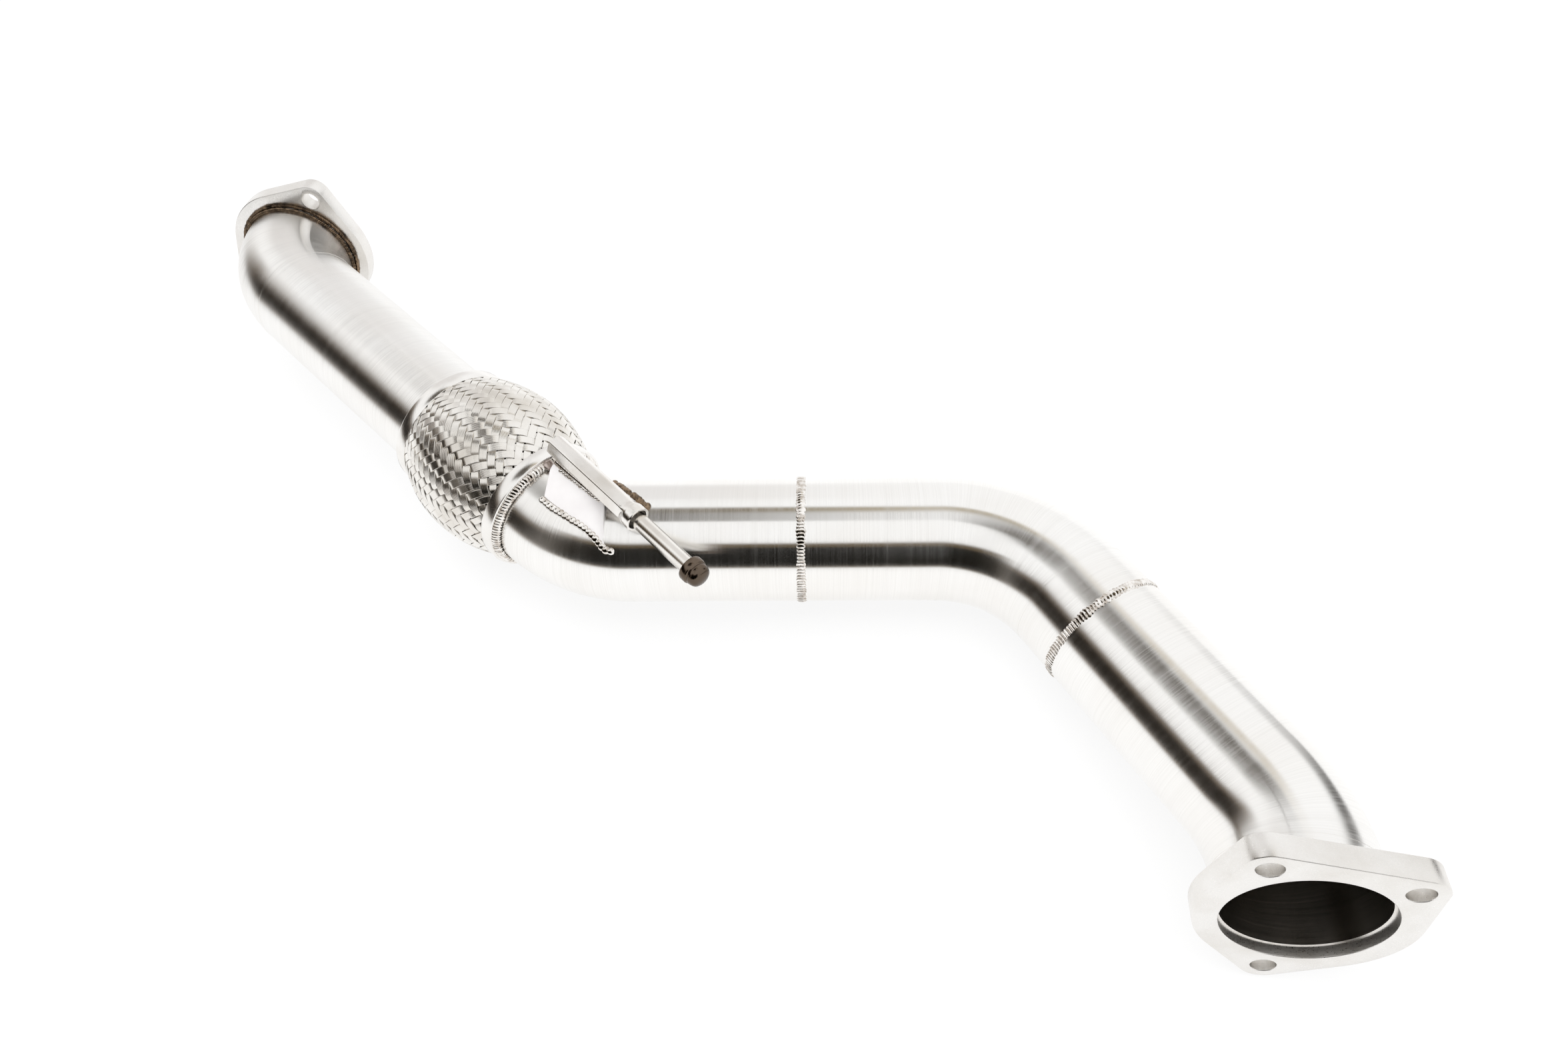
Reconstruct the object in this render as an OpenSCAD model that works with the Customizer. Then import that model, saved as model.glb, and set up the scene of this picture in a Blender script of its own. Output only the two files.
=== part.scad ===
// Exhaust front pipe: two three-bolt flanges, four mandrel bends, a braided flex
// coupling and a hanger rod on a folded bracket. Millimetres, +Z up, lying as it rests.

/* [Tube] */
// Outside diameter of the tube
tube_od = 76.2; // [74:0.1:78]
// Wall thickness of the tube
tube_wall = 1.5; // [1.2:0.1:2]

/* [Route] */
// Turn of the inlet bend, degrees
bend1_angle = 51; // [45:1:55]
// Centreline radius of the inlet bend
bend1_r = 68; // [64:1:72]
// Straight from the inlet bend to the flex coupling
inlet_run = 172; // [150:1:190]
// Turn of the elbow behind the flex coupling, degrees
bend2_angle = 42; // [38:1:46]
// Centreline radius of that elbow
bend2_r = 84; // [80:1:90]
// Straight from that elbow to the middle weld
elbow_run = 103; // [90:1:115]
// Straight from the middle weld to the third bend
mid_run = 81; // [70:1:95]
// Turn of the third bend, degrees
bend3_angle = 60; // [56:1:64]
// Centreline radius of the third bend
bend3_r = 88; // [82:1:94]
// Straight from the third bend to the outlet weld
bend3_run = 27.5; // [20:0.5:35]
// Straight from the outlet weld to the last bend
outlet_run = 105.5; // [90:0.5:120]
// Turn of the last bend, degrees
bend4_angle = 38; // [34:1:42]
// Centreline radius of the last bend
bend4_r = 75; // [70:1:80]
// Straight from the last bend to the outlet face
outlet_end = 23; // [21:1:30]

/* [Flanges] */
// Thickness of both flange plates
flange_t = 12; // [10:0.5:14]
// How far the round part of a flange stands out from the tube
flange_rim = 10.9; // [9:0.1:13]
// From the tube's surface to the middle of a bolt hole
bolt_offset = 11.4; // [10.5:0.1:13.5]
// Half the angle between the two paired bolt holes, degrees
bolt_pair_angle = 39.6; // [38:0.2:42]
// Diameter of the bolt holes
bolt_d = 12; // [10:0.5:12.5]
// Radius of the lobes round the bolt holes
lobe_r = 11.5; // [11:0.5:13]
// How much smaller the gas bore's radius is than the tube's at the sealing face
bore_step = 0.6; // [0.3:0.1:1.2]
// How deep each tube sits in its flange socket
socket_depth = 6; // [4:0.5:8]

/* [Flex coupling] */
// Length over both collars
flex_len = 96; // [90:1:104]
// How far the collars stand out from the tube
collar_rise = 5.9; // [5:0.1:7]
// Width of a collar
collar_w = 9; // [8:0.5:10]
// How far the braid bulges out past the collars
braid_rise = 9.5; // [7:0.1:10.5]
// Strands that run each way round the braid
strands = 38; // [34:2:40]
// Rows of the weave along the braid
weave_rows = 12; // [10:1:12]
// Height of the weave's relief
weave_relief = 1.1; // [0.6:0.1:1.4]
// Corrugations of the bellows under the braid
convolutions = 8; // [6:1:9]

/* [Hanger] */
// Diameter of the hanger rod
rod_d = 10; // [9:0.5:10.5]
// How far the rod sticks out of its sleeve, to the head
rod_out = 44; // [36:1:50]
// Width across the flats of the crimped sleeve
sleeve_flats = 12.4; // [12:0.2:13.2]
// Length of the sleeve
sleeve_len = 78; // [72:1:82]
// Diameter of the sleeve's round mouth
mouth_d = 15.5; // [15:0.1:16.4]
// Thickness of the bracket's sheet
sheet = 2; // [1.6:0.1:2.4]

/* [Hidden] */
$fn = 96;

steel = "#c9c7c4";
steel_bright = "#d8d6d2";
weld_grey = "#8f877c";
weld_bronze = "#5d4a3a";

tube_r = tube_od / 2;
bore_r = tube_r - tube_wall;
flange_r = tube_r + flange_rim;
bolt_circle_r = tube_r + bolt_offset;
bore_d = tube_od - 2 * bore_step;
collar_od = tube_od + 2 * collar_rise;
braid_d = collar_od + 2 * braid_rise;
// the straights are drawn this much smaller than the bends and reach a little into
// them, so that each wall has one clear edge there; a drawn tube necks like that too
neck = 0.1;
neck_len = 0.6;
// turning direction of each bend about the tube, degrees from the frame's x
phi1 = -102;
phi2 = -86;
phi3 = 84;
phi4 = 73;
lead_in = 13;            // inlet face to the first bend
flex_gap = 3;            // flex coupling to the elbow's bend
tube_in_collar = 6;      // how far a tube reaches into the coupling

// how the pipe lies: turn and position of the inlet face
lie_turn = [4.212, -81.721, 84.201];
lie_at = [-302.812, 251.39, tube_r + 28.514];

// ---- frames along the route: z runs with the gas, from the inlet face on
function shift(x, y, z) = [[1, 0, 0, x], [0, 1, 0, y], [0, 0, 1, z], [0, 0, 0, 1]];
function spin_z(a) = [[cos(a), -sin(a), 0, 0], [sin(a), cos(a), 0, 0], [0, 0, 1, 0], [0, 0, 0, 1]];
function spin_y(a) = [[cos(a), 0, sin(a), 0], [0, 1, 0, 0], [-sin(a), 0, cos(a), 0], [0, 0, 0, 1]];
function spin_x(a) = [[1, 0, 0, 0], [0, cos(a), -sin(a), 0], [0, sin(a), cos(a), 0], [0, 0, 0, 1]];
function ahead(d) = shift(0, 0, d);
function round_bend(a, phi, r) = spin_z(phi) * shift(r, 0, 0) * spin_y(a) * shift(-r, 0, 0) * spin_z(-phi);

at_bend1 = ahead(lead_in);
at_run1 = at_bend1 * round_bend(bend1_angle, phi1, bend1_r);
at_flex = at_run1 * ahead(inlet_run);
at_flex_end = at_flex * ahead(flex_len);
at_bend2 = at_flex_end * ahead(flex_gap);
at_run2 = at_bend2 * round_bend(bend2_angle, phi2, bend2_r);
at_middle = at_run2 * ahead(elbow_run);
at_bend3 = at_middle * ahead(mid_run);
at_run3 = at_bend3 * round_bend(bend3_angle, phi3, bend3_r);
at_outlet = at_run3 * ahead(bend3_run);
at_bend4 = at_outlet * ahead(outlet_run);
at_end = at_bend4 * round_bend(bend4_angle, phi4, bend4_r);
at_face = at_end * ahead(outlet_end);

module lying(m) { translate(lie_at) rotate(lie_turn) multmatrix(m) children(); }

// ---- tube pieces, each drawn from its own start along z
module straight(len, ro = tube_r - neck, ri = bore_r - neck) {
  difference() {
    cylinder(h = len, r = ro);
    translate([0, 0, -1]) cylinder(h = len + 2, r = ri);
  }
}

// sweeps a profile round a bend that starts at the origin and leans toward phi
module sweep_bend(a, phi, r, fine = 120) {
  rotate([0, 0, phi]) multmatrix([[-1, 0, 0, r], [0, 0, 1, 0], [0, 1, 0, 0], [0, 0, 0, 1]])
    rotate_extrude(angle = a, $fn = fine) translate([r, 0]) children();
}

module tube_bend(a, phi, r) {
  sweep_bend(a, phi, r) difference() { circle(r = tube_r, $fn = 72); circle(r = bore_r, $fn = 72); }
}

// ---- three-bolt flange: z = 0 is the sealing face, pair_at is the pair's middle
module flange_plate(pair_at) {
  turns = [bolt_pair_angle, -bolt_pair_angle, 180];
  inset = 0.05;
  function on(r, a) = [r * cos(a), r * sin(a)];
  // tangent points of the straight sides between the round part and a lobe
  side = acos((flange_r - lobe_r) / bolt_circle_r);
  rotate([0, 0, pair_at]) difference() {
    linear_extrude(height = flange_t) {
      circle(r = flange_r);
      for (a = turns) {
        rotate(a) translate([bolt_circle_r, 0]) circle(r = lobe_r);
        polygon([
          on(flange_r - inset, a - side),
          on(bolt_circle_r, a) + on(lobe_r - inset, a - side),
          on(bolt_circle_r, a) + on(lobe_r - inset, a + side),
          on(flange_r - inset, a + side),
          [0, 0]]);
      }
      polygon([
        on(bolt_circle_r, -bolt_pair_angle) + [lobe_r - inset, 0],
        on(bolt_circle_r, bolt_pair_angle) + [lobe_r - inset, 0],
        on(bolt_circle_r, bolt_pair_angle), on(bolt_circle_r, -bolt_pair_angle)]);
    }
    translate([0, 0, -1]) cylinder(h = flange_t + 2, r = bore_d / 2);
    translate([0, 0, flange_t - socket_depth]) cylinder(h = socket_depth + 1, r = tube_r);
    for (a = turns)
      rotate([0, 0, a]) translate([bolt_circle_r, 0, -1]) cylinder(h = flange_t + 2, d = bolt_d);
  }
}

// ---- ring weld round the tube: z = 0 is its start
module ring_bead(width, height, peaks = 1) {
  steps = 8 * peaks;
  seat = tube_r - neck;
  rotate_extrude() polygon(concat([[seat, 0]],
    [for (i = [1 : steps - 1]) [tube_r + height * (0.25 + 0.75 * abs(sin(i * 180 * peaks / steps)))
        * (1 - 0.22 * i / steps), width * i / steps]],
    [[seat, width]]));
}

module inlet_flange() { color(steel_bright) lying(ahead(0)) flange_plate(150.5); }

module inlet_flange_weld() {
  color(weld_bronze) lying(ahead(flange_t)) rotate_extrude() polygon(concat([[tube_r, 0], [tube_r + 4.9, 0]],
    [for (i = [0 : 6]) [tube_r + 3 + 2 * cos(i * 30 - 20), 1.7 + 1.5 * sin(i * 30 - 20)]],
    [for (i = [0 : 6]) [tube_r + 1.1 + 1.7 * cos(i * 25), 3.9 + 1.6 * sin(i * 25)]],
    [[tube_r, 5.3]]));
}

module inlet_tube() {
  start = flange_t - socket_depth;
  color(steel) {
    lying(ahead(start)) straight(lead_in - start + neck_len);
    lying(at_bend1) tube_bend(bend1_angle, phi1, bend1_r);
    lying(at_run1 * ahead(-neck_len)) straight(inlet_run + tube_in_collar + neck_len);
  }
}

// ---- flex coupling
braid_wall = 1.9;
cuff_r = collar_od / 2 - 2.2;      // bore of the collar's cuff, over the braid
cuff_from = 3;                     // the collar's lip closes on the tube up to here
braid_end_r = cuff_r - 0.25;
weave_from = collar_w + 1;
weave_len = flex_len - 2 * weave_from;

module collar() {
  rotate_extrude() polygon([
    [tube_r, 0], [collar_od / 2 - 0.8, 0], [collar_od / 2 - 0.2, 0.3], [collar_od / 2, 0.9],
    [collar_od / 2, collar_w - 0.5], [collar_od / 2 - 0.5, collar_w], [cuff_r, collar_w],
    [cuff_r, cuff_from], [tube_r, cuff_from]]);
}

module flex_inlet_collar() { color(steel_bright) lying(at_flex) collar(); }
module flex_outlet_collar() {
  color(steel_bright) lying(at_flex) translate([0, 0, flex_len]) mirror([0, 0, 1]) collar();
}

// thin corrugated tube: its plain cuffs slip over the two tube ends
module flex_bellows() {
  wall = 0.6;
  root = tube_r + 0.7;
  rise = 5.6;
  from = 17;
  pitch = (flex_len - 2 * from) / convolutions;
  n = 12;
  function wave(i) = root + rise * (1 - cos(360 * i / n)) / 2;
  pts = [for (i = [0 : n * convolutions]) [wave(i), from + pitch * i / n]];
  color("#b8b3aa") lying(at_flex) rotate_extrude() polygon(concat(
    [[tube_r, cuff_from], [tube_r, from - 4], [root - wall, from - 1]],
    [for (p = pts) [p[0] - wall, p[1]]],
    [[root - wall, flex_len - from + 1], [tube_r, flex_len - from + 4], [tube_r, flex_len - cuff_from],
     [tube_r + 0.8, flex_len - cuff_from], [tube_r + 0.8, flex_len - from + 3.5]],
    [for (i = [len(pts) - 1 : -1 : 0]) pts[i]],
    [[tube_r + 0.8, from - 3.5], [tube_r + 0.8, cuff_from]]));
}

// woven barrel: the outer skin is a lattice whose points sit at each crossing, at each
// hole between strands and half-way between them, two strands over and two under
function barrel(z) = let (u = 2 * (z - collar_w) / (flex_len - 2 * collar_w) - 1)
  collar_od / 2 - 0.9 + (braid_d / 2 - weave_relief / 2 - collar_od / 2 + 0.9) * max(0, 1 - u * u);
// true where the strand that leans left is on top, counted along the girth
function left_on_top(a) = (a % 4 + 4) % 4 < 2;
// height of lattice point (p, q): p counts quarter steps round, q quarter rows along.
// Crossings are high and holes low; half-way points are high along a strand on top.
function relief(p, q) =
  let (k = (p + q) / 2, here = left_on_top(floor(p / 2)), next = left_on_top(floor(p / 2) + 1))
  p % 2 == 0 ? (k % 2 == 0 ? 0.5 : -0.5)
             : (here == next && here == (k % 2 == 0) ? 0.5 : -0.15);

module flex_braid() {
  around = 2 * strands;
  rows = 4 * weave_rows;
  skin = [for (q = [0 : rows]) let (z = weave_from + weave_len * q / rows, edge = min(1, min(q, rows - q) / 2))
    [for (k = [0 : around - 1]) let (p = 2 * k + q % 2, a = p * 90 / strands,
        r = barrel(z) + weave_relief * relief(p, q) * edge) [r * cos(a), r * sin(a), z]]];
  function ring(r, z, off = 0) = [for (k = [0 : around - 1]) let (a = (2 * k + off) * 90 / strands)
    [r * cos(a), r * sin(a), z]];
  inner = [for (i = [0 : 8]) let (z = weave_from + weave_len * i / 8) ring(barrel(z) - braid_wall, z, i % 2)];
  loops = concat(
    [ring(braid_end_r - 1.3, cuff_from + 0.2, 1), ring(braid_end_r, cuff_from + 0.2, 0),
     ring(braid_end_r, collar_w, 1)],
    skin,
    [ring(braid_end_r, flex_len - collar_w, 1), ring(braid_end_r, flex_len - cuff_from - 0.2, 0),
     ring(braid_end_r - 1.3, flex_len - cuff_from - 0.2, 1)],
    [for (i = [8 : -1 : 0]) inner[i]]);
  n = len(loops);
  pts = [for (l = loops) each l];
  // each loop is half a step round from the last; the faces zig-zag between them
  shift_of = [for (i = [0 : n - 1]) loops[i][0][1] > 0.01 ? 1 : 0];
  faces = [for (i = [0 : n - 1]) let (j = (i + 1) % n, oi = shift_of[i], oj = shift_of[j])
    each [for (k = [0 : around - 1]) let (k1 = (k + 1) % around)
      each (oi == oj ? [[i * around + k, j * around + k, j * around + k1], [i * around + k, j * around + k1, i * around + k1]]
        : oi < oj ? [[i * around + k, j * around + k, i * around + k1], [i * around + k1, j * around + k, j * around + k1]]
        : [[i * around + k, j * around + k, j * around + k1], [i * around + k, j * around + k1, i * around + k1]])]];
  color("#a9a49d") lying(at_flex) rotate([0, 0, 5.5]) polyhedron(points = pts, faces = faces, convexity = 6);
}

module flex_outlet_weld() {
  color(weld_grey) lying(at_flex_end) rotate_extrude() polygon(concat([[tube_r, 0], [tube_r + 4.6, 0]],
    [for (i = [1 : 7]) [tube_r + 4.6 * cos(i * 90 / 8) + 0.5 * sin(i * 22.5), 5 * sin(i * 90 / 8)]],
    [[tube_r, 5.2]]));
}

// ---- tubes behind the coupling
module elbow_tube() {
  color(steel) {
    lying(at_flex_end * ahead(-tube_in_collar)) straight(tube_in_collar + flex_gap + neck_len);
    lying(at_bend2) tube_bend(bend2_angle, phi2, bend2_r);
    lying(at_run2 * ahead(-neck_len)) straight(elbow_run + neck_len);
  }
}

module middle_weld() { color(weld_grey) lying(at_middle * ahead(-2.5)) ring_bead(5, 1); }

module middle_tube() {
  color(steel) {
    lying(at_middle) straight(mid_run + neck_len);
    lying(at_bend3) tube_bend(bend3_angle, phi3, bend3_r);
    lying(at_run3 * ahead(-neck_len)) straight(bend3_run + neck_len);
  }
}

module outlet_weld() { color(weld_grey) lying(at_outlet * ahead(-2.5)) ring_bead(5, 1); }

module outlet_tube() {
  color(steel) {
    lying(at_outlet) straight(outlet_run + neck_len);
    lying(at_bend4) tube_bend(bend4_angle, phi4, bend4_r);
    lying(at_end * ahead(-neck_len)) straight(outlet_end - flange_t + socket_depth + neck_len);
  }
}

module outlet_flange_weld() {
  color(weld_bronze) lying(at_face * ahead(-flange_t)) mirror([0, 0, 1]) ring_bead(4, 3);
}

module outlet_flange() {
  color(steel_bright) lying(at_face) mirror([0, 0, 1]) flange_plate(-12.5);
}

// ---- hanger: its z runs along the sleeve, from beside the coupling's outlet end
hanger_side = -20.56;              // where the sleeve lies round the tube, degrees
hanger_rise = 14.02;               // from the tube's surface to the sleeve's axis
at_hanger = at_flex_end
  * shift((tube_r + hanger_rise) * cos(hanger_side), (tube_r + hanger_rise) * sin(hanger_side), 0.3)
  * spin_y(3.2) * spin_x(-3.4);
module on_hanger() { lying(at_hanger) children(); }

// a place on the elbow's skin, as the hanger sees it: degrees of turn from the bend's
// start (on past its end), degrees round the tube, and height over the skin
function elbow_at(turn) = at_bend2 * round_bend(min(turn, bend2_angle), phi2, bend2_r)
  * ahead(max(0, turn - bend2_angle) * PI / 180 * bend2_r);
function to_hanger(p) = let (m = at_hanger, d = [p[0] - m[0][3], p[1] - m[1][3], p[2] - m[2][3]])
  [for (k = [0 : 2]) d * [m[0][k], m[1][k], m[2][k]]];
function on_elbow(turn, side, out) =
  to_hanger(elbow_at(turn) * [(tube_r + out) * cos(side), (tube_r + out) * sin(side), 0, 1]);

// everything inside the elbow's outer surface, to seat feet and welds on it
module elbow_inside() {
  fine = 240;
  lying(at_flex_end) cylinder(h = flex_gap + neck_len, r = tube_r - neck, $fn = fine);
  lying(at_bend2) sweep_bend(bend2_angle, phi2, bend2_r, fine) circle(r = tube_r, $fn = fine);
  lying(at_run2 * ahead(-neck_len)) cylinder(h = elbow_run, r = tube_r - neck, $fn = fine);
}

// ---- bracket: one sheet folded over the elbow, with a flat ridge under the sleeve
ridge_x = -sleeve_flats / 2 - sheet / 2;
ridge_half = 3.5;                  // half the width of the ridge
ridge_from = 4;                    // start of the ridge along the sleeve
ridge_len = sleeve_len * 0.57;
// both feet along the elbow: degrees of turn, degrees round the tube. Each place faces
// the same share of the ridge's length.
near_foot = [[8.6, 12.4], [14.8, 14.9], [19.2, 17.3], [27.3, 23.2], [32, 30.2], [34.3, 37.5], [35.9, 41.4]];
far_foot = [[17.1, -45.2], [25.8, -37.2], [31.4, -30.6], [40.4, -16.6], [45.1, -6.8], [47.9, -0.4], [49.5, 3.3]];
ridge_share = [0, 0.2, 0.34, 0.62, 0.81, 0.93, 1];
far_sink = 1.6;                    // how deep the far foot is drawn before the elbow cuts it
fold_at = 0.33;                    // second, softer fold of each leg
corner_drop = 2.8;                 // how far the near leg's inlet corner stands forward

module bracket_sheet() {
  last = len(near_foot) - 1;
  // middle of the sheet, from the near foot over the ridge to the far foot
  mid = [for (i = [0 : last]) let (z = ridge_from + ridge_len * ridge_share[i],
      a = [ridge_x, ridge_half, z], b = [ridge_x, -ridge_half, z],
      p = on_elbow(near_foot[i][0], near_foot[i][1], 0), q = on_elbow(far_foot[i][0], far_foot[i][1], -far_sink))
    [p, a + (p - a) * fold_at - [0, 0, i == 0 ? corner_drop : 0], a, b, b + (q - b) * fold_at, q]];
  function out(i, j) = let (u = mid[min(i + 1, last)][j] - mid[max(i - 1, 0)][j],
      v = mid[i][min(j + 1, 5)] - mid[i][max(j - 1, 0)], n = cross(u, v))
    j == 2 ? [1, 0.2, 0] : j == 3 ? [1, -0.2, 0] : n / norm(n);
  pts = [for (i = [0 : last]) each concat([for (j = [0 : 5]) mid[i][j] + out(i, j) * sheet / 2],
    [for (j = [5 : -1 : 0]) mid[i][j] - out(i, j) * sheet / 2])];
  e = 12 * last;
  polyhedron(points = pts, convexity = 6, faces = concat(
    [for (i = [0 : last - 1]) each [for (k = [0 : 11]) let (a = 12 * i + k, b = 12 * i + (k + 1) % 12)
      each [[a, b, b + 12], [a, b + 12, a + 12]]]],
    [for (j = [0 : 4]) each [[j + 1, j, 11 - j], [j + 1, 11 - j, 10 - j]]],
    [for (j = [0 : 4]) each [[e + j, e + j + 1, e + 10 - j], [e + j, e + 10 - j, e + 11 - j]]]));
}

module hanger_bracket() {
  color(steel_bright) difference() { on_hanger() bracket_sheet(); elbow_inside(); }
}

// a bead of weld through a row of points
module bead(pts, r) {
  for (i = [0 : len(pts) - 2]) let (p = pts[i], d = pts[i + 1] - p)
    translate(p) rotate([0, acos(d[2] / norm(d)), atan2(d[1], d[0])]) cylinder(h = norm(d), r = r, $fn = 24);
  for (p = pts) translate(p) sphere(r = r + 0.15, $fn = 24);
}

module bracket_near_weld() {
  color(weld_grey) difference() {
    on_hanger() bead([for (p = [[9.6, 16], [20.4, 20.2], [29.5, 27.8], [35.6, 41]]) on_elbow(p[0], p[1], 0.3)], 2.4);
    elbow_inside();
    on_hanger() bracket_sheet();
  }
}

module bracket_far_weld() {
  color(weld_bronze) difference() {
    on_hanger() bead([for (p = [[34.5, -27.9], [44.1, -11.4], [50.3, 0.9]]) on_elbow(p[0], p[1], 0.3)], 2.4);
    elbow_inside();
    on_hanger() bracket_sheet();
  }
}

// tube crimped to a hexagon on the rod, with its round mouth left open
module sleeve_form() {
  mouth_len = 5;
  cone = 6;
  af = sleeve_flats / 2;
  union() {
    rotate([0, 0, 30]) cylinder(h = sleeve_len - mouth_len, r = af / cos(30), $fn = 6);
    translate([0, 0, sleeve_len - mouth_len - cone]) cylinder(h = cone, r1 = af, r2 = mouth_d / 2);
    translate([0, 0, sleeve_len - mouth_len]) cylinder(h = mouth_len, r = mouth_d / 2);
  }
}

module hanger_sleeve() {
  color(steel_bright) on_hanger() difference() {
    sleeve_form();
    translate([0, 0, -1]) cylinder(h = sleeve_len + 2, r = rod_d / 2);
    translate([0, 0, sleeve_len - 9]) cylinder(h = 10, r = mouth_d / 2 - 1.5);
  }
}

module sleeve_weld() {
  color(weld_grey) difference() {
    on_hanger() bead([[ridge_x + 1.2, ridge_half + 2.5, ridge_from + 3],
      [ridge_x + 1.2, ridge_half + 2.1, ridge_from + ridge_len - 3.4]], 1.7);
    on_hanger() rotate([0, 0, 30]) cylinder(h = sleeve_len, r = sleeve_flats / 2 / cos(30), $fn = 6);
    on_hanger() bracket_sheet();
  }
}

module hanger_rod() {
  z = sleeve_len + rod_out;
  r = rod_d / 2;
  color(steel_bright) on_hanger() rotate_extrude() polygon([
    [0, 1], [r - 0.6, 1], [r, 1.6], [r, z - 0.6], [r + 0.5, z], [r + 2.4, z + 0.6], [r + 2.8, z + 1.4],
    [r + 2.8, z + 5], [r + 2.2, z + 5.8], [r + 2.1, z + 7.4], [r + 1.4, z + 9.6], [r - 0.4, z + 11.4],
    [0, z + 12.2]]);
}

inlet_flange();
inlet_flange_weld();
inlet_tube();
flex_inlet_collar();
flex_bellows();
flex_braid();
flex_outlet_collar();
flex_outlet_weld();
elbow_tube();
middle_weld();
middle_tube();
outlet_weld();
outlet_tube();
outlet_flange_weld();
outlet_flange();
hanger_bracket();
bracket_near_weld();
bracket_far_weld();
hanger_sleeve();
sleeve_weld();
hanger_rod();
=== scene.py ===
"""Looks for an exhaust front pipe: brushed stainless tubes, a woven flex coupling, TIG welds,
two machined flanges and a hanger rod. Everything is built in metres in the row frame."""

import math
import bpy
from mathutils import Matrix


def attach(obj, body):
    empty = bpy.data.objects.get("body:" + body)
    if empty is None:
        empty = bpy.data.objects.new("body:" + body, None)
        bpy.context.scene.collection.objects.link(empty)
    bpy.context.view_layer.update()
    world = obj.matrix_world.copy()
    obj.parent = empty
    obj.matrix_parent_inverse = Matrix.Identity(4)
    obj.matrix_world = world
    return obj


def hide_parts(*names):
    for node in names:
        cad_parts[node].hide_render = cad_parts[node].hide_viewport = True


bl_info = {
    "name": "Exhaust front pipe",
    "version": (1, 0, 0),
    "blender": (4, 5, 0),
    "location": "View3D > Sidebar > Front pipe",
    "description": "Builds the finished surfaces of a bent exhaust front pipe",
    "category": "Object",
}

import bmesh
import bpy
from bpy.props import FloatProperty, FloatVectorProperty, IntProperty, PointerProperty, StringProperty
from mathutils import Matrix, Vector
from mathutils.geometry import tessellate_polygon

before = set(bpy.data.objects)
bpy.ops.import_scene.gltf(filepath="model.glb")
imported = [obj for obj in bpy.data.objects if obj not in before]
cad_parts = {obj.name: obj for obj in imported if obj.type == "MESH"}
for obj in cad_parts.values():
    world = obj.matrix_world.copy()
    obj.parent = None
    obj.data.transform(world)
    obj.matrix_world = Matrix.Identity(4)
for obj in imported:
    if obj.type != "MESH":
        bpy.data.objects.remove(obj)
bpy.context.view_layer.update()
BODY = "root"
MM = 0.001
TAU = 2 * math.pi

# ---- sizes of the part, in millimetres, as its source has them
TUBE_R, BORE_R, NECK = 38.1, 36.6, 0.1
FLANGE_T, SOCKET = 12.0, 6.0
FLEX_LEN, COLLAR_R, COLLAR_W, CUFF_FROM = 96.0, 44.0, 9.0, 3.0
CUFF_R = 41.8
LIE_TURN = (4.212, -81.721, 84.201)
LIE_AT = (-302.812, 251.39, 66.614)
SLEEVE_AT, SLEEVE_TILT = (48.8, -18.304, 0.3), (-3.4, 3.2, 0.0)


# ---- places along the pipe: z runs with the gas
def shift(x, y, z):
    return Matrix.Translation((x * MM, y * MM, z * MM))


def turn(degrees, axis):
    return Matrix.Rotation(math.radians(degrees), 4, axis)


def round_bend(angle, phi, radius):
    return turn(phi, "Z") @ shift(radius, 0, 0) @ turn(angle, "Y") @ shift(-radius, 0, 0) @ turn(-phi, "Z")


BENDS = {1: (51, -102, 68), 2: (42, -86, 84), 3: (60, 84, 88), 4: (38, 73, 75)}


def places():
    p = {"inlet": shift(*LIE_AT) @ turn(LIE_TURN[2], "Z") @ turn(LIE_TURN[1], "Y") @ turn(LIE_TURN[0], "X")}
    p["bend1"] = p["inlet"] @ shift(0, 0, 13)
    p["run1"] = p["bend1"] @ round_bend(*BENDS[1])
    p["flex"] = p["run1"] @ shift(0, 0, 172)
    p["flex_end"] = p["flex"] @ shift(0, 0, FLEX_LEN)
    p["bend2"] = p["flex_end"] @ shift(0, 0, 3)
    p["run2"] = p["bend2"] @ round_bend(*BENDS[2])
    p["middle"] = p["run2"] @ shift(0, 0, 103)
    p["bend3"] = p["middle"] @ shift(0, 0, 81)
    p["run3"] = p["bend3"] @ round_bend(*BENDS[3])
    p["outlet"] = p["run3"] @ shift(0, 0, 27.5)
    p["bend4"] = p["outlet"] @ shift(0, 0, 105.5)
    p["end"] = p["bend4"] @ round_bend(*BENDS[4])
    p["face"] = p["end"] @ shift(0, 0, 23)
    p["hanger"] = (p["flex_end"] @ shift(*SLEEVE_AT) @ turn(SLEEVE_TILT[1], "Y")
                   @ turn(SLEEVE_TILT[0], "X"))
    return p


AT = places()


def elbow_at(bend):
    """The place on the elbow's centreline after a turn in degrees, and on past the bend's end."""
    angle, phi, radius = BENDS[2]
    return (AT["bend2"] @ round_bend(min(bend, angle), phi, radius)
            @ shift(0, 0, max(0.0, math.radians(bend - angle) * radius)))


def on_elbow(bend, side, out=0.0):
    """A point over the elbow's skin, and the direction away from it."""
    m, a = elbow_at(bend), math.radians(side)
    away = Vector((math.cos(a), math.sin(a), 0))
    return m @ (away * (TUBE_R + out) * MM), m.to_3x3() @ away


def through(points, steps):
    """A smooth curve through a list of points of any dimension, with so many steps to a span."""
    out, last = [], len(points) - 1
    for i in range(last):
        p0, p1, p2, p3 = (Vector(points[min(max(k, 0), last)]) for k in (i - 1, i, i + 1, i + 2))
        for t in (j / steps for j in range(steps)):
            out.append(0.5 * (2 * p1 + (p2 - p0) * t + (2 * p0 - 5 * p1 + 4 * p2 - p3) * t * t
                              + (3 * p1 - p0 - 3 * p2 + p3) * t ** 3))
    return out + [Vector(points[last])]


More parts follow.
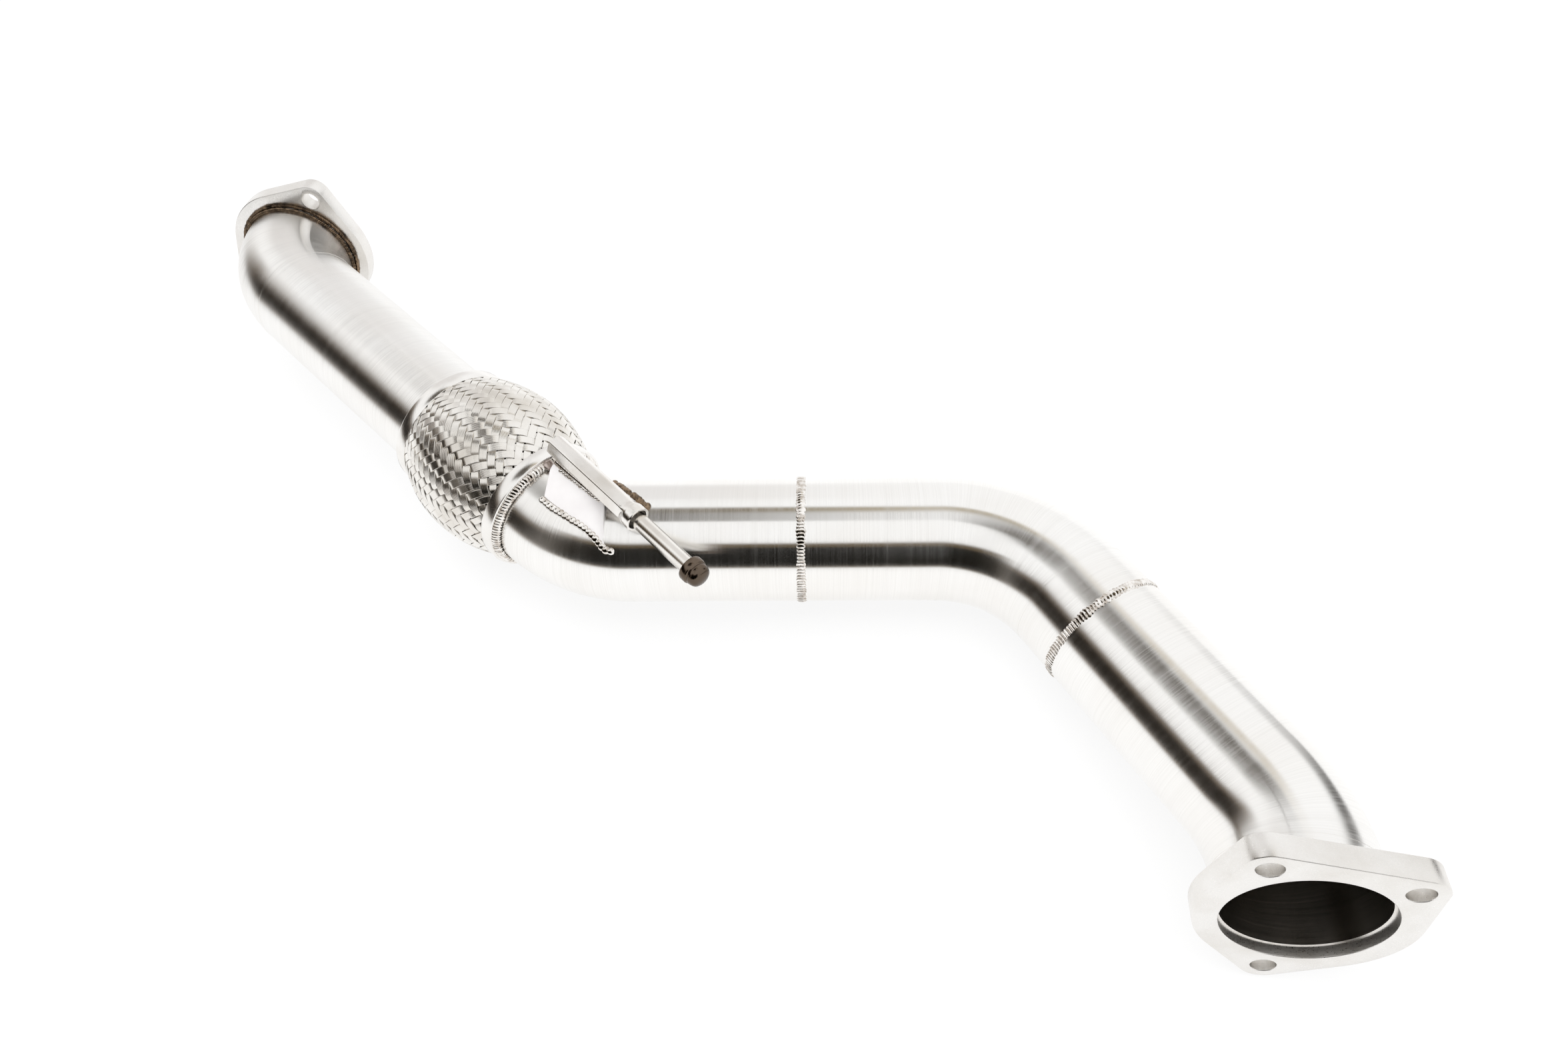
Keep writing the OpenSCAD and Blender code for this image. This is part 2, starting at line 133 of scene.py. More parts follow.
# ---- small helpers
def linear(colour):
    """A '#rrggbb' sRGB colour as linear RGBA."""
    parts = [int(colour[i:i + 2], 16) / 255 for i in (1, 3, 5)]
    return [c / 12.92 if c <= 0.04045 else ((c + 0.055) / 1.055) ** 2.4 for c in parts] + [1.0]


def put(tree, kind, inputs=None, **settings):
    """Adds one node: settings are its properties, inputs its sockets' values or links."""
    node = tree.nodes.new(kind)
    for key, value in settings.items():
        setattr(node, key, value)
    for key, value in (inputs or {}).items():
        socket = node.inputs[key]
        if isinstance(value, bpy.types.NodeSocket):
            tree.links.new(value, socket)
        else:
            socket.default_value = value
    return node


def new_object(name, mesh):
    obj = bpy.data.objects.new(name, mesh)
    bpy.context.scene.collection.objects.link(obj)
    return obj


def finish_piece(obj, slot, *nodes):
    """Ties a finished piece to the body and hides the CAD nodes it stands for; its finish, slot, is not used."""
    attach(obj, BODY)
    if nodes:
        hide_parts(*nodes)
    return obj


def mesh_from(name, verts, faces, material, sharp=35.0):
    mesh = bpy.data.meshes.new(name)
    mesh.from_pydata(verts, [], faces)
    mesh.validate()
    mesh.materials.append(material)
    mesh.polygons.foreach_set("use_smooth", [True] * len(mesh.polygons))
    mesh.set_sharp_from_angle(angle=math.radians(sharp))
    mesh.update()
    return mesh


def rings_to_mesh(name, rings, material, closed=True, sharp=35.0):
    """Skins a list of equally long closed rings of points, and joins the last to the first."""
    n = len(rings[0])
    verts = [p for ring in rings for p in ring]
    faces = []
    last = len(rings) if closed else len(rings) - 1
    for i in range(last):
        a, b = i * n, ((i + 1) % len(rings)) * n
        for k in range(n):
            k1 = (k + 1) % n
            faces.append((a + k, a + k1, b + k1, b + k))
    return mesh_from(name, verts, faces, material, sharp)


def lathe(name, profile, place, material, segments=128, closed=True, sharp=35.0):
    """Turns a profile of (radius, z) in millimetres round the z axis of a place. A closed
    profile runs with its solid on the left of (z up, radius right); poles are merged."""
    rings = []
    for r, z in profile:
        rings.append([place @ Vector((r * MM * math.cos(TAU * k / segments),
                                      r * MM * math.sin(TAU * k / segments), z * MM))
                      for k in range(segments)])
    mesh = rings_to_mesh(name, rings, material, closed, sharp)
    bm = bmesh.new()
    bm.from_mesh(mesh)
    bmesh.ops.remove_doubles(bm, verts=bm.verts, dist=1e-7)
    bmesh.ops.recalc_face_normals(bm, faces=bm.faces)
    bm.to_mesh(mesh)
    bm.free()
    mesh.set_sharp_from_angle(angle=math.radians(sharp))
    return mesh


def applied(obj):
    """The evaluated object as a plain mesh, with its modifiers gone."""
    depsgraph = bpy.context.evaluated_depsgraph_get()
    mesh = bpy.data.meshes.new_from_object(obj.evaluated_get(depsgraph))
    obj.modifiers.clear()
    obj.data = mesh
    return obj


# ---- materials
def principled(name):
    material = bpy.data.materials.new(name)
    material.use_nodes = True
    tree = material.node_tree
    return material, tree, tree.nodes["Principled BSDF"]


def brushed_tube_steel(name, colour, tint, rough, streak_mm=0.45, anisotropy=0.92):
    """Stainless tube, belt-polished round its girth: fine rings that stretch a reflection along
    the pipe and keep the dark bands crisp across it, with a straw tint where it was welded."""
    material, tree, shader = principled(name)
    straight = put(tree, "ShaderNodeAttribute", attribute_name="straight").outputs["Vector"]
    # belt marks about half a millimetre apart and 60 mm long round the tube
    along = put(tree, "ShaderNodeVectorMath", {0: straight, 1: (12.0, 12.0, 1000 / streak_mm)},
                operation="MULTIPLY").outputs[0]
    marks = put(tree, "ShaderNodeTexNoise", {"Vector": along, "Scale": 1.0, "Detail": 4.0,
                                            "Roughness": 0.6}).outputs["Fac"]
    coarse_at = put(tree, "ShaderNodeVectorMath", {0: straight, 1: (9.0, 9.0, 170.0)},
                    operation="MULTIPLY").outputs[0]
    coarse = put(tree, "ShaderNodeTexNoise", {"Vector": coarse_at, "Scale": 1.0, "Detail": 3.0,
                                             "Roughness": 0.55}).outputs["Fac"]
    place = put(tree, "ShaderNodeTexCoord").outputs["Object"]
    cloud = put(tree, "ShaderNodeTexNoise", {"Vector": place, "Scale": 16.0, "Detail": 3.0,
                                            "Roughness": 0.5}).outputs["Fac"]
    base = put(tree, "ShaderNodeMix", {"Factor": put(tree, "ShaderNodeMapRange", {
        "Value": cloud, "From Min": 0.35, "From Max": 0.75, "To Min": 0.0, "To Max": 0.5}).outputs[0],
        "A": linear(colour), "B": linear(tint)}, data_type="RGBA")
    heat = put(tree, "ShaderNodeAttribute", attribute_name="heat").outputs["Fac"]
    heated = put(tree, "ShaderNodeMix", {"Factor": put(tree, "ShaderNodeMath", {0: heat, 1: 0.55},
                 operation="MULTIPLY").outputs[0], "A": base.outputs["Result"], "B": linear("#b8976a")},
                 data_type="RGBA")
    streaked = put(tree, "ShaderNodeMix", {"Factor": put(tree, "ShaderNodeMapRange", {
        "Value": marks, "From Min": 0.35, "From Max": 0.7, "To Min": 0.0, "To Max": 0.08}).outputs[0],
        "A": heated.outputs["Result"], "B": linear("#b9b3ab")}, data_type="RGBA")
    tree.links.new(streaked.outputs["Result"], shader.inputs["Base Color"])
    both = put(tree, "ShaderNodeMath", {0: coarse, 1: 0.3, 2: marks}, operation="MULTIPLY_ADD").outputs[0]
    roughness = put(tree, "ShaderNodeMapRange", {"Value": both, "From Min": 0.4, "From Max": 0.9,
                                                "To Min": rough - 0.03, "To Max": rough + 0.06})
    tree.links.new(roughness.outputs[0], shader.inputs["Roughness"])
    bump = put(tree, "ShaderNodeBump", {"Height": both, "Strength": 0.03, "Distance": 0.0002})
    tree.links.new(bump.outputs["Normal"], shader.inputs["Normal"])
    shader.inputs["Metallic"].default_value = 1.0
    shader.inputs["Anisotropic"].default_value = anisotropy
    tangent = put(tree, "ShaderNodeTangent", direction_type="UV_MAP", uv_map="along")
    tree.links.new(tangent.outputs["Tangent"], shader.inputs["Tangent"])
    return material


def plain_steel(name, colour, tint, rough, grain=(1400.0, 1400.0, 1400.0), grain_rough=0.1, bump_mm=0.03,
                cloud_scale=30.0, metallic=1.0):
    """Bright steel with a fine even grain and faint clouds, from Object coordinates."""
    material, tree, shader = principled(name)
    place = put(tree, "ShaderNodeTexCoord").outputs["Object"]
    cloud = put(tree, "ShaderNodeTexNoise", {"Vector": place, "Scale": cloud_scale, "Detail": 4.0,
                                            "Roughness": 0.55}).outputs["Fac"]
    base = put(tree, "ShaderNodeMix", {"Factor": put(tree, "ShaderNodeMapRange", {
        "Value": cloud, "From Min": 0.4, "From Max": 0.75}).outputs[0],
        "A": linear(colour), "B": linear(tint)}, data_type="RGBA")
    tree.links.new(base.outputs["Result"], shader.inputs["Base Color"])
    fine_at = put(tree, "ShaderNodeVectorMath", {0: place, 1: grain}, operation="MULTIPLY").outputs[0]
    fine = put(tree, "ShaderNodeTexNoise", {"Vector": fine_at, "Scale": 1.0, "Detail": 3.0,
                                           "Roughness": 0.6}).outputs["Fac"]
    roughness = put(tree, "ShaderNodeMapRange", {"Value": fine, "From Min": 0.3, "From Max": 0.7,
                                                "To Min": rough, "To Max": rough + grain_rough})
    tree.links.new(roughness.outputs[0], shader.inputs["Roughness"])
    bump = put(tree, "ShaderNodeBump", {"Height": fine, "Strength": 0.25, "Distance": bump_mm * MM})
    tree.links.new(bump.outputs["Normal"], shader.inputs["Normal"])
    shader.inputs["Metallic"].default_value = metallic
    return material


def weld_metal(name, colour, tint, rough):
    """TIG weld: bright rippled metal with darker tinted patches a few millimetres wide."""
    material, tree, shader = principled(name)
    place = put(tree, "ShaderNodeTexCoord").outputs["Object"]
    patches = put(tree, "ShaderNodeTexNoise", {"Vector": place, "Scale": 260.0, "Detail": 3.0,
                                              "Roughness": 0.6}).outputs["Fac"]
    base = put(tree, "ShaderNodeMix", {"Factor": put(tree, "ShaderNodeMapRange", {
        "Value": patches, "From Min": 0.4, "From Max": 0.68}).outputs[0],
        "A": linear(colour), "B": linear(tint)}, data_type="RGBA")
    tree.links.new(base.outputs["Result"], shader.inputs["Base Color"])
    pits = put(tree, "ShaderNodeTexNoise", {"Vector": place, "Scale": 1600.0, "Detail": 2.0}).outputs["Fac"]
    bump = put(tree, "ShaderNodeBump", {"Height": pits, "Strength": 0.3, "Distance": 0.0001})
    tree.links.new(bump.outputs["Normal"], shader.inputs["Normal"])
    shader.inputs["Metallic"].default_value = 1.0
    shader.inputs["Roughness"].default_value = rough
    return material


MATERIALS = {}


def make_materials():
    MATERIALS.update(
        tube=brushed_tube_steel("brushed_stainless_tube", "#fbfaf8", "#f0ece6", 0.19),
        flange=plain_steel("machined_stainless_plate", "#f4f2ef", "#e4e0da", 0.25, grain_rough=0.16),
        collar=plain_steel("turned_stainless_ring", "#f7f5f2", "#e8e4de", 0.15),
        braid=plain_steel("bright_woven_wire", "#f3f0eb", "#d8d2c9", 0.16, bump_mm=0.01),
        # the bellows' dark colour is painted shade: it darkens the gaps between the braid's strands
        bellows=plain_steel("bellows_painted_shade", "#4d4740", "#38332d", 0.4),
        bracket=plain_steel("cut_stainless_sheet", "#fbf9f9", "#efecec", 0.4, metallic=0.55),
        rod=plain_steel("drawn_stainless_bar", "#f4f1ec", "#ddd7ce", 0.12),
        # the bore's greyer colour is partly a duller drawn inner skin and partly painted shade inside the tube
        bore=brushed_tube_steel("bore_dull_skin_and_painted_shade", "#b9b3aa", "#a29b92", 0.2),
        head=plain_steel("turned_bar_end", "#6f6256", "#3a3027", 0.13),
        sleeve=plain_steel("crimped_stainless_tube", "#f5f2ee", "#dfd9d1", 0.14),
        weld=weld_metal("bright_tig_weld", "#faf7f3", "#c3b9ae", 0.1),
        weld_bronze=weld_metal("heat_tinted_weld", "#95806a", "#2a211a", 0.2),
        weld_flat=weld_metal("flat_weld_cap", "#cfc1bb", "#a89a93", 0.3),
    )


# ---- stage
# Directions in degrees as the part sees the studio: the dark room shows between the overhead
# softbox and the white floor. Azimuth is counted from the -X side, towards -Y.
DARK_GAPS = (
    # name, azimuth from and to, its softness, elevation from, its softness, to, its softness, colour
    ("overhead_gap", -122, -12, 8.0, 62, 1.5, 71, 5.0, "#a8966f"),
    ("overhead_gap_deep", -92, -6, 8.0, 61, 2.0, 91, 1.0, "#3a2f1c"),
    ("back_wall", -88, -52, 8.0, 2, 8.0, 44, 8.0, "#e8e6e5"),
    ("right_gap", -160, -142, 6.0, -12, 6.0, 18, 6.0, "#2e2820"),
    ("left_door_edge", -30, 36, 8.0, 2, 3.0, 36, 4.0, "#75685a"),
    ("left_door", -18, 34, 8.0, 6, 3.0, 29, 4.0, "#1b150f"),
    ("front_room_edge", 38, 122, 4.0, 3, 1.5, 49, 2.0, "#5c4d34"),
    ("front_room", 42, 120, 4.0, 6, 1.0, 42, 1.5, "#0b0904"),
)


class StageSettings(bpy.types.PropertyGroup):
    camera_at: FloatVectorProperty(name="Camera place", description="Where the camera stands, in metres",
                                   size=3, subtype="TRANSLATION", default=(0.1079, -0.3452, 0.5443))
    lens: FloatProperty(name="Lens", description="Focal length on a 36 mm wide frame, in millimetres",
                        default=22.323)
    floor_size: FloatProperty(name="Floor size", description="Side of the white floor", default=8.0,
                              unit="LENGTH")
    floor_colour: StringProperty(name="Floor colour", description="sRGB hex colour of the floor",
                                 default="#fafafa")
    softbox_power: FloatProperty(name="Softbox power", description="Power of the overhead softbox, in watts",
                                 default=14.0)


class STAGE_OT_build(bpy.types.Operator):
    """White floor, studio world, one overhead softbox and the camera"""
    bl_idname = "front_pipe.stage"
    bl_label = "Stage"

    def execute(self, context):
        s = context.scene.front_pipe_stage
        scene = context.scene
        scene.view_settings.view_transform = "Standard"
        camera = bpy.data.objects.new("camera", bpy.data.cameras.new("camera"))
        scene.collection.objects.link(camera)
        camera.data.lens = s.lens
        camera.data.sensor_width = 36.0
        camera.data.clip_end = 50.0
        right, up = Vector((0.99750, 0.01258, -0.06951)), Vector((0.02851, 0.82859, 0.55914))
        back = right.cross(up)
        place = Matrix((right, up, back)).transposed().to_4x4()
        place.translation = s.camera_at
        camera.matrix_world = place
        scene.camera = camera
        self.floor(s)
        self.world(scene)
        lamp = bpy.data.objects.new("overhead_softbox", bpy.data.lights.new("overhead_softbox", "AREA"))
        scene.collection.objects.link(lamp)
        lamp.data.shape = "RECTANGLE"
        lamp.data.size, lamp.data.size_y = 1.6, 1.2
        lamp.data.energy = s.softbox_power
        lamp.location = (0.0, 0.15, 1.5)
        lamp.visible_glossy = False
        return {"FINISHED"}

    def floor(self, s):
        half = s.floor_size / 2
        material, tree, shader = principled("white_paper_floor")
        # the camera and mirror-like metal see the paper as white; the shadow stays in a share of it
        shader.inputs["Base Color"].default_value = linear(s.floor_colour)
        shader.inputs["Roughness"].default_value = 0.9
        shader.inputs["Specular IOR Level"].default_value = 0.0
        rays = put(tree, "ShaderNodeLightPath")
        seen = put(tree, "ShaderNodeMath", {0: rays.outputs["Is Camera Ray"], 1: rays.outputs["Is Glossy Ray"]},
                   operation="MAXIMUM").outputs[0]
        share = put(tree, "ShaderNodeMath", {0: seen, 1: 0.82}, operation="MULTIPLY").outputs[0]
        white = put(tree, "ShaderNodeEmission", {"Color": (1.0, 1.0, 1.0, 1.0), "Strength": 1.0})
        mixed = put(tree, "ShaderNodeMixShader", {0: share, 1: shader.outputs[0], 2: white.outputs[0]})
        tree.links.new(mixed.outputs[0], tree.nodes["Material Output"].inputs["Surface"])
        mesh = mesh_from("floor", [(-half, -half, -0.0002), (half, -half, -0.0002), (half, half, -0.0002),
                                   (-half, half, -0.0002)], [(0, 1, 2, 3)], material)
        new_object("floor", mesh)

    def world(self, scene):
        world = bpy.data.worlds.new("white_studio")
        scene.world = world
        world.use_nodes = True
        tree = world.node_tree
        tree.nodes.clear()
        ray = put(tree, "ShaderNodeTexCoord").outputs["Generated"]
        split = put(tree, "ShaderNodeSeparateXYZ", {0: ray})
        x = put(tree, "ShaderNodeMath", {0: split.outputs["X"], 1: -1.0}, operation="MULTIPLY").outputs[0]
        y = put(tree, "ShaderNodeMath", {0: split.outputs["Y"], 1: -1.0}, operation="MULTIPLY").outputs[0]
        azimuth = put(tree, "ShaderNodeMath", {0: y, 1: x}, operation="ARCTAN2").outputs[0]
        elevation = put(tree, "ShaderNodeMath", {0: split.outputs["Z"]}, operation="ARCSINE").outputs[0]
        colour = put(tree, "ShaderNodeRGB").outputs[0]
        colour.default_value = (1.0, 1.0, 1.0, 1.0)
        for name, az0, az1, az_soft, el0, soft0, el1, soft1, shade in DARK_GAPS:
            inside = None
            for angle, low, low_soft, high, high_soft in ((azimuth, az0, az_soft, az1, az_soft),
                                                          (elevation, el0, soft0, el1, soft1)):
                for edge, side, soft in ((low, 1, low_soft), (high, -1, high_soft)):
                    step = put(tree, "ShaderNodeMapRange", {
                        "Value": angle, "From Min": math.radians(edge - soft), "From Max": math.radians(edge + soft),
                        "To Min": 0.0 if side > 0 else 1.0, "To Max": 1.0 if side > 0 else 0.0},
                        interpolation_type="SMOOTHSTEP", label=name).outputs[0]
                    inside = step if inside is None else put(tree, "ShaderNodeMath", {0: inside, 1: step},
                                                             operation="MULTIPLY").outputs[0]
            colour = put(tree, "ShaderNodeMix", {"Factor": inside, "A": colour, "B": linear(shade)},
                         data_type="RGBA").outputs["Result"]
        # a seam of the overhead softbox: a thin line across the ceiling, over the left half
        across = put(tree, "ShaderNodeMath", {0: split.outputs["X"], 1: split.outputs["Z"]}, operation="DIVIDE")
        far = put(tree, "ShaderNodeMath", {0: across.outputs[0], 1: -0.25, 2: 0.011}, operation="COMPARE").outputs[0]
        high = put(tree, "ShaderNodeMath", {0: split.outputs["Z"], 1: 0.72}, operation="GREATER_THAN").outputs[0]
        seam = put(tree, "ShaderNodeMath", {0: far, 1: high}, operation="MULTIPLY").outputs[0]
        colour = put(tree, "ShaderNodeMix", {"Factor": seam, "A": colour, "B": linear("#4a453f")},
                     data_type="RGBA").outputs["Result"]
        rays = put(tree, "ShaderNodeLightPath")
        studio = put(tree, "ShaderNodeBackground", {"Color": colour, "Strength": 1.0})
        white = put(tree, "ShaderNodeBackground", {"Color": (1.0, 1.0, 1.0, 1.0), "Strength": 1.0})
        plain = put(tree, "ShaderNodeMath", {0: rays.outputs["Is Camera Ray"], 1: rays.outputs["Is Diffuse Ray"]},
                    operation="MAXIMUM").outputs[0]
        mixed = put(tree, "ShaderNodeMixShader", {0: plain, 1: studio.outputs[0], 2: white.outputs[0]})
        put(tree, "ShaderNodeOutputWorld", {"Surface": mixed.outputs[0]})


# ---- tubes
class TubeSettings(bpy.types.PropertyGroup):
    girth_steps: IntProperty(name="Steps round", description="Faces round each tube", default=128)
    bend_step: FloatProperty(name="Bend step", description="Degrees between rings in a bend", default=1.5)
    heat_reach: FloatProperty(name="Heat tint", description="How far the straw tint reaches from a weld",
                              default=0.009, unit="LENGTH")


def route(start, pieces, step):
    """Rings of a tube as (place, radius change, distance in mm): pieces are straights and bends."""
    at, far, out = AT[start], 0.0, []
    for piece in pieces:
        if piece[0] == "run":
            length = piece[1]
            n = max(1, round(abs(length) / 6))
            for i in range(n + 1):
                out.append((at @ shift(0, 0, length * i / n), -NECK, far + length * i / n))
            at, far = at @ shift(0, 0, length), far + length
        else:
            angle, phi, radius = BENDS[piece[1]]
            n = round(angle / step)
            for i in range(n + 1):
                out.append((at @ round_bend(angle * i / n, phi, radius), 0.0,
                            far + math.radians(angle) * radius * i / n))
            at, far = at @ round_bend(angle, phi, radius), far + math.radians(angle) * radius
    return out


# CAD node, starting place, how far before it the tube begins, its pieces, welds at these distances
TUBES = (
    ("inlet_tube", "inlet", SOCKET, (("run", 7.0), ("bend", 1), ("run", 178.0)), (6.0, 1e3)),
    ("elbow_tube", "flex_end", -6.0, (("run", 9.0), ("bend", 2), ("run", 103.0)), (6.0, -1.0)),
    ("middle_tube", "middle", 0.0, (("run", 81.0), ("bend", 3), ("run", 27.5)), (0.0, -1.0)),
    ("outlet_tube", "outlet", 0.0, (("run", 105.5), ("bend", 4), ("run", 17.0)), (0.0, -6.0)),
)


class TUBES_OT_build(bpy.types.Operator):
    """The four tube lengths with belt-polish marks that follow each bend"""
    bl_idname = "front_pipe.tubes"
    bl_label = "Tubes"

    def execute(self, context):
        s = context.scene.front_pipe_tubes
        for node, start, lead, pieces, welds in TUBES:
            AT["_start"] = AT[start] @ shift(0, 0, lead)
            stations = route("_start", pieces, s.bend_step)
            length = stations[-1][2]
            weld_at = [w if w >= 0 else length + 1 + w for w in welds]
            self.tube(node, stations, weld_at, s)
        return {"FINISHED"}

    def tube(self, node, stations, weld_at, s):
        n = s.girth_steps
        rings, straight, heat, around = [], [], [], []
        rows = [(m, TUBE_R + d, far) for m, d, far in stations]
        rows += [(m, BORE_R + d, far) for m, d, far in reversed(stations)]
        for m, r, far in rows:
            ring = []
            near = max(math.exp(-abs(far - w) * MM / s.heat_reach) for w in weld_at)
            for k in range(n):
                a = TAU * k / n
                x, y = r * MM * math.cos(a), r * MM * math.sin(a)
                ring.append(m @ Vector((x, y, 0)))
                straight.append((x, y, far * MM))
                heat.append(near)
            rings.append(ring)
            around.append(far)
        mesh = rings_to_mesh(node, rings, MATERIALS["tube"], True, 40)
        # the inside takes the greyer bore colour, which is partly painted shade
        mesh.materials.append(MATERIALS["bore"])
        inside = len(stations)
        mesh.polygons.foreach_set("material_index", [int(inside <= i // n < 2 * inside - 1)
                                                     for i in range(len(mesh.polygons))])
        flow = mesh.attributes.new("straight", "FLOAT_VECTOR", "POINT")
        flow.data.foreach_set("vector", [c for v in straight for c in v])
        warm = mesh.attributes.new("heat", "FLOAT", "POINT")
        warm.data.foreach_set("value", heat)
        uv = mesh.uv_layers.new(name="along")
        for face in mesh.polygons:
            for corner, v in zip(face.loop_indices, face.vertices):
                k = v % n
                other = [w % n for w in face.vertices]
                if k == 0 and n - 1 in other:
                    k = n
                uv.data[corner].uv = (around[v // n] * 0.005, k / n)
        finish_piece(new_object("brushed_" + node, mesh), "tube_steel", node)


# ---- flanges
class FlangeSettings(bpy.types.PropertyGroup):
    edge: FloatProperty(name="Broken edge", description="Rounding of the plate's edges", default=0.0007,
                        unit="LENGTH")
    bore_edge: FloatProperty(name="Bore edge", description="Chamfer at the bore and the bolt holes",
                             default=0.0006, unit="LENGTH")
    arc_step: FloatProperty(name="Arc step", description="Degrees between points of an arc", default=3.0)


FLANGE_R, PAIR_R, PAIR_ANGLE, BOLT_R, LOBE_R, GAS_R = 49.0, 49.5, 39.6, 6.0, 11.5, 37.5
FLANGES = (("inlet_flange", "inlet", 150.5, 1), ("outlet_flange", "face", -12.5, -1))


def flange_outline(inset, step):
    """Round middle with three lobes joined by tangent lines, drawn inset millimetres inside."""
    side = math.degrees(math.acos((FLANGE_R - LOBE_R) / PAIR_R))
    points = []

    def arc(cx, cy, r, a0, a1):
        n = max(2, round((a1 - a0) / step))
        for i in range(n + 1):
            a = math.radians(a0 + (a1 - a0) * i / n)
            points.append((cx + r * math.cos(a), cy + r * math.sin(a)))

    big, small = FLANGE_R - inset, LOBE_R - inset
    a = math.radians(PAIR_ANGLE)
    arc(PAIR_R * math.cos(a), PAIR_R * math.sin(a), small, 0, PAIR_ANGLE + side)
    arc(0, 0, big, PAIR_ANGLE + side, 180 - side)
    arc(-PAIR_R, 0, small, 180 - side, 180 + side)
    arc(0, 0, big, 180 + side, 360 - PAIR_ANGLE - side)
    arc(PAIR_R * math.cos(a), -PAIR_R * math.sin(a), small, 360 - PAIR_ANGLE - side, 360)
    return points


class FLANGES_OT_build(bpy.types.Operator):
    """Both three-bolt flange plates with broken edges"""
    bl_idname = "front_pipe.flanges"
    bl_label = "Flanges"

    def execute(self, context):
        s = context.scene.front_pipe_flanges
        for node, place, pair_at, side in FLANGES:
            # z runs from the sealing face into the plate; the outlet's plate looks the other way
            m = AT[place] @ (Matrix.Identity(4) if side > 0 else Matrix.Scale(-1, 4, (0, 0, 1)))
            m = m @ turn(pair_at, "Z")
            finish_piece(new_object("machined_" + node, self.plate(node, m, side, s)), "flange_steel", node)
        return {"FINISHED"}

    def plate(self, name, place, side, s):
        t = FLANGE_T
        verts, faces, uvs = [], [], []

        def loop(points, z):
            start = len(verts)
            verts.extend(place @ Vector((x * MM, y * MM, z * MM)) for x, y in points)
            return list(range(start, start + len(points)))

        def circle(cx, cy, r, n):
            return [(cx + r * math.cos(TAU * i / n), cy + r * math.sin(TAU * i / n)) for i in range(n)]

        def wall(loops, flip):
            for low, high in zip(loops, loops[1:]):
                n = len(low)
                for i in range(n):
                    quad = (low[i], low[(i + 1) % n], high[(i + 1) % n], high[i])
                    faces.append(quad[::-1] if flip else quad)

        def levels(edge):
            """(inset, z) pairs of a rounded edge on both faces"""
            quarter = [(edge * (1 - math.sin(a)), edge * (1 - math.cos(a)))
                       for a in (0.0, math.pi / 6, math.pi / 3, math.pi / 2)]
            return quarter + [(i, t - z) for i, z in reversed(quarter)]

        rounded, chamfer = s.edge / MM, s.bore_edge / MM
        outer = [loop(flange_outline(i, s.arc_step), z) for i, z in levels(rounded)]
        wall(outer, False)
        a = math.radians(PAIR_ANGLE)
        holes = []
        for cx, cy, r, n in ((0, 0, GAS_R, 120), (PAIR_R * math.cos(a), PAIR_R * math.sin(a), BOLT_R, 40),
                             (PAIR_R * math.cos(a), -PAIR_R * math.sin(a), BOLT_R, 40), (-PAIR_R, 0, BOLT_R, 40)):
            loops = [loop(circle(cx, cy, r + i, n), z) for i, z in levels(chamfer)]
            wall(loops, True)
            holes.append(loops)
        for end, flip in ((0, True), (-1, False)):
            outlines = [outer[end]] + [h[end] for h in holes]
            flat = [[place.inverted() @ verts[i] for i in ids] for ids in outlines]
            for tri in tessellate_polygon([[(p.x, p.y, 0) for p in line] for line in flat]):
                ids = [i for line in outlines for i in line]
                corner = [ids[i] for i in tri]
                p, q, r = (place.inverted() @ verts[i] for i in corner)
                up = (q - p).cross(r - p).z > 0
                faces.append(tuple(corner if up != flip else corner[::-1]))
        if side < 0:
            faces = [f[::-1] for f in faces]
        return mesh_from(name, verts, faces, MATERIALS["flange"], 25)


# ---- flex coupling
class BraidSettings(bpy.types.PropertyGroup):
    strands: IntProperty(name="Strands", description="Strands that run each way", default=38)
    wires: IntProperty(name="Wires", description="Wires side by side in a strand", default=7)
    steps: IntProperty(name="Steps", description="Points along a strand", default=104)
    strand_fill: FloatProperty(name="Strand fill", description="Share of the spacing that a strand covers",
                               default=0.97, subtype="FACTOR")
    thickness: FloatProperty(name="Thickness", description="Thickness of a strand", default=0.0006,
                             unit="LENGTH")
    wave: FloatProperty(name="Wave", description="Rise and fall over and under the crossing strands",
                        default=0.00058, unit="LENGTH")
    widest: FloatProperty(name="Widest radius", description="Radius of the barrel's middle",
                          default=0.05232, unit="LENGTH")


BRAID_FROM, BRAID_LEN, BRAID_TURN = 10.0, 76.0, 5.5
WEAVE_ROWS = 12


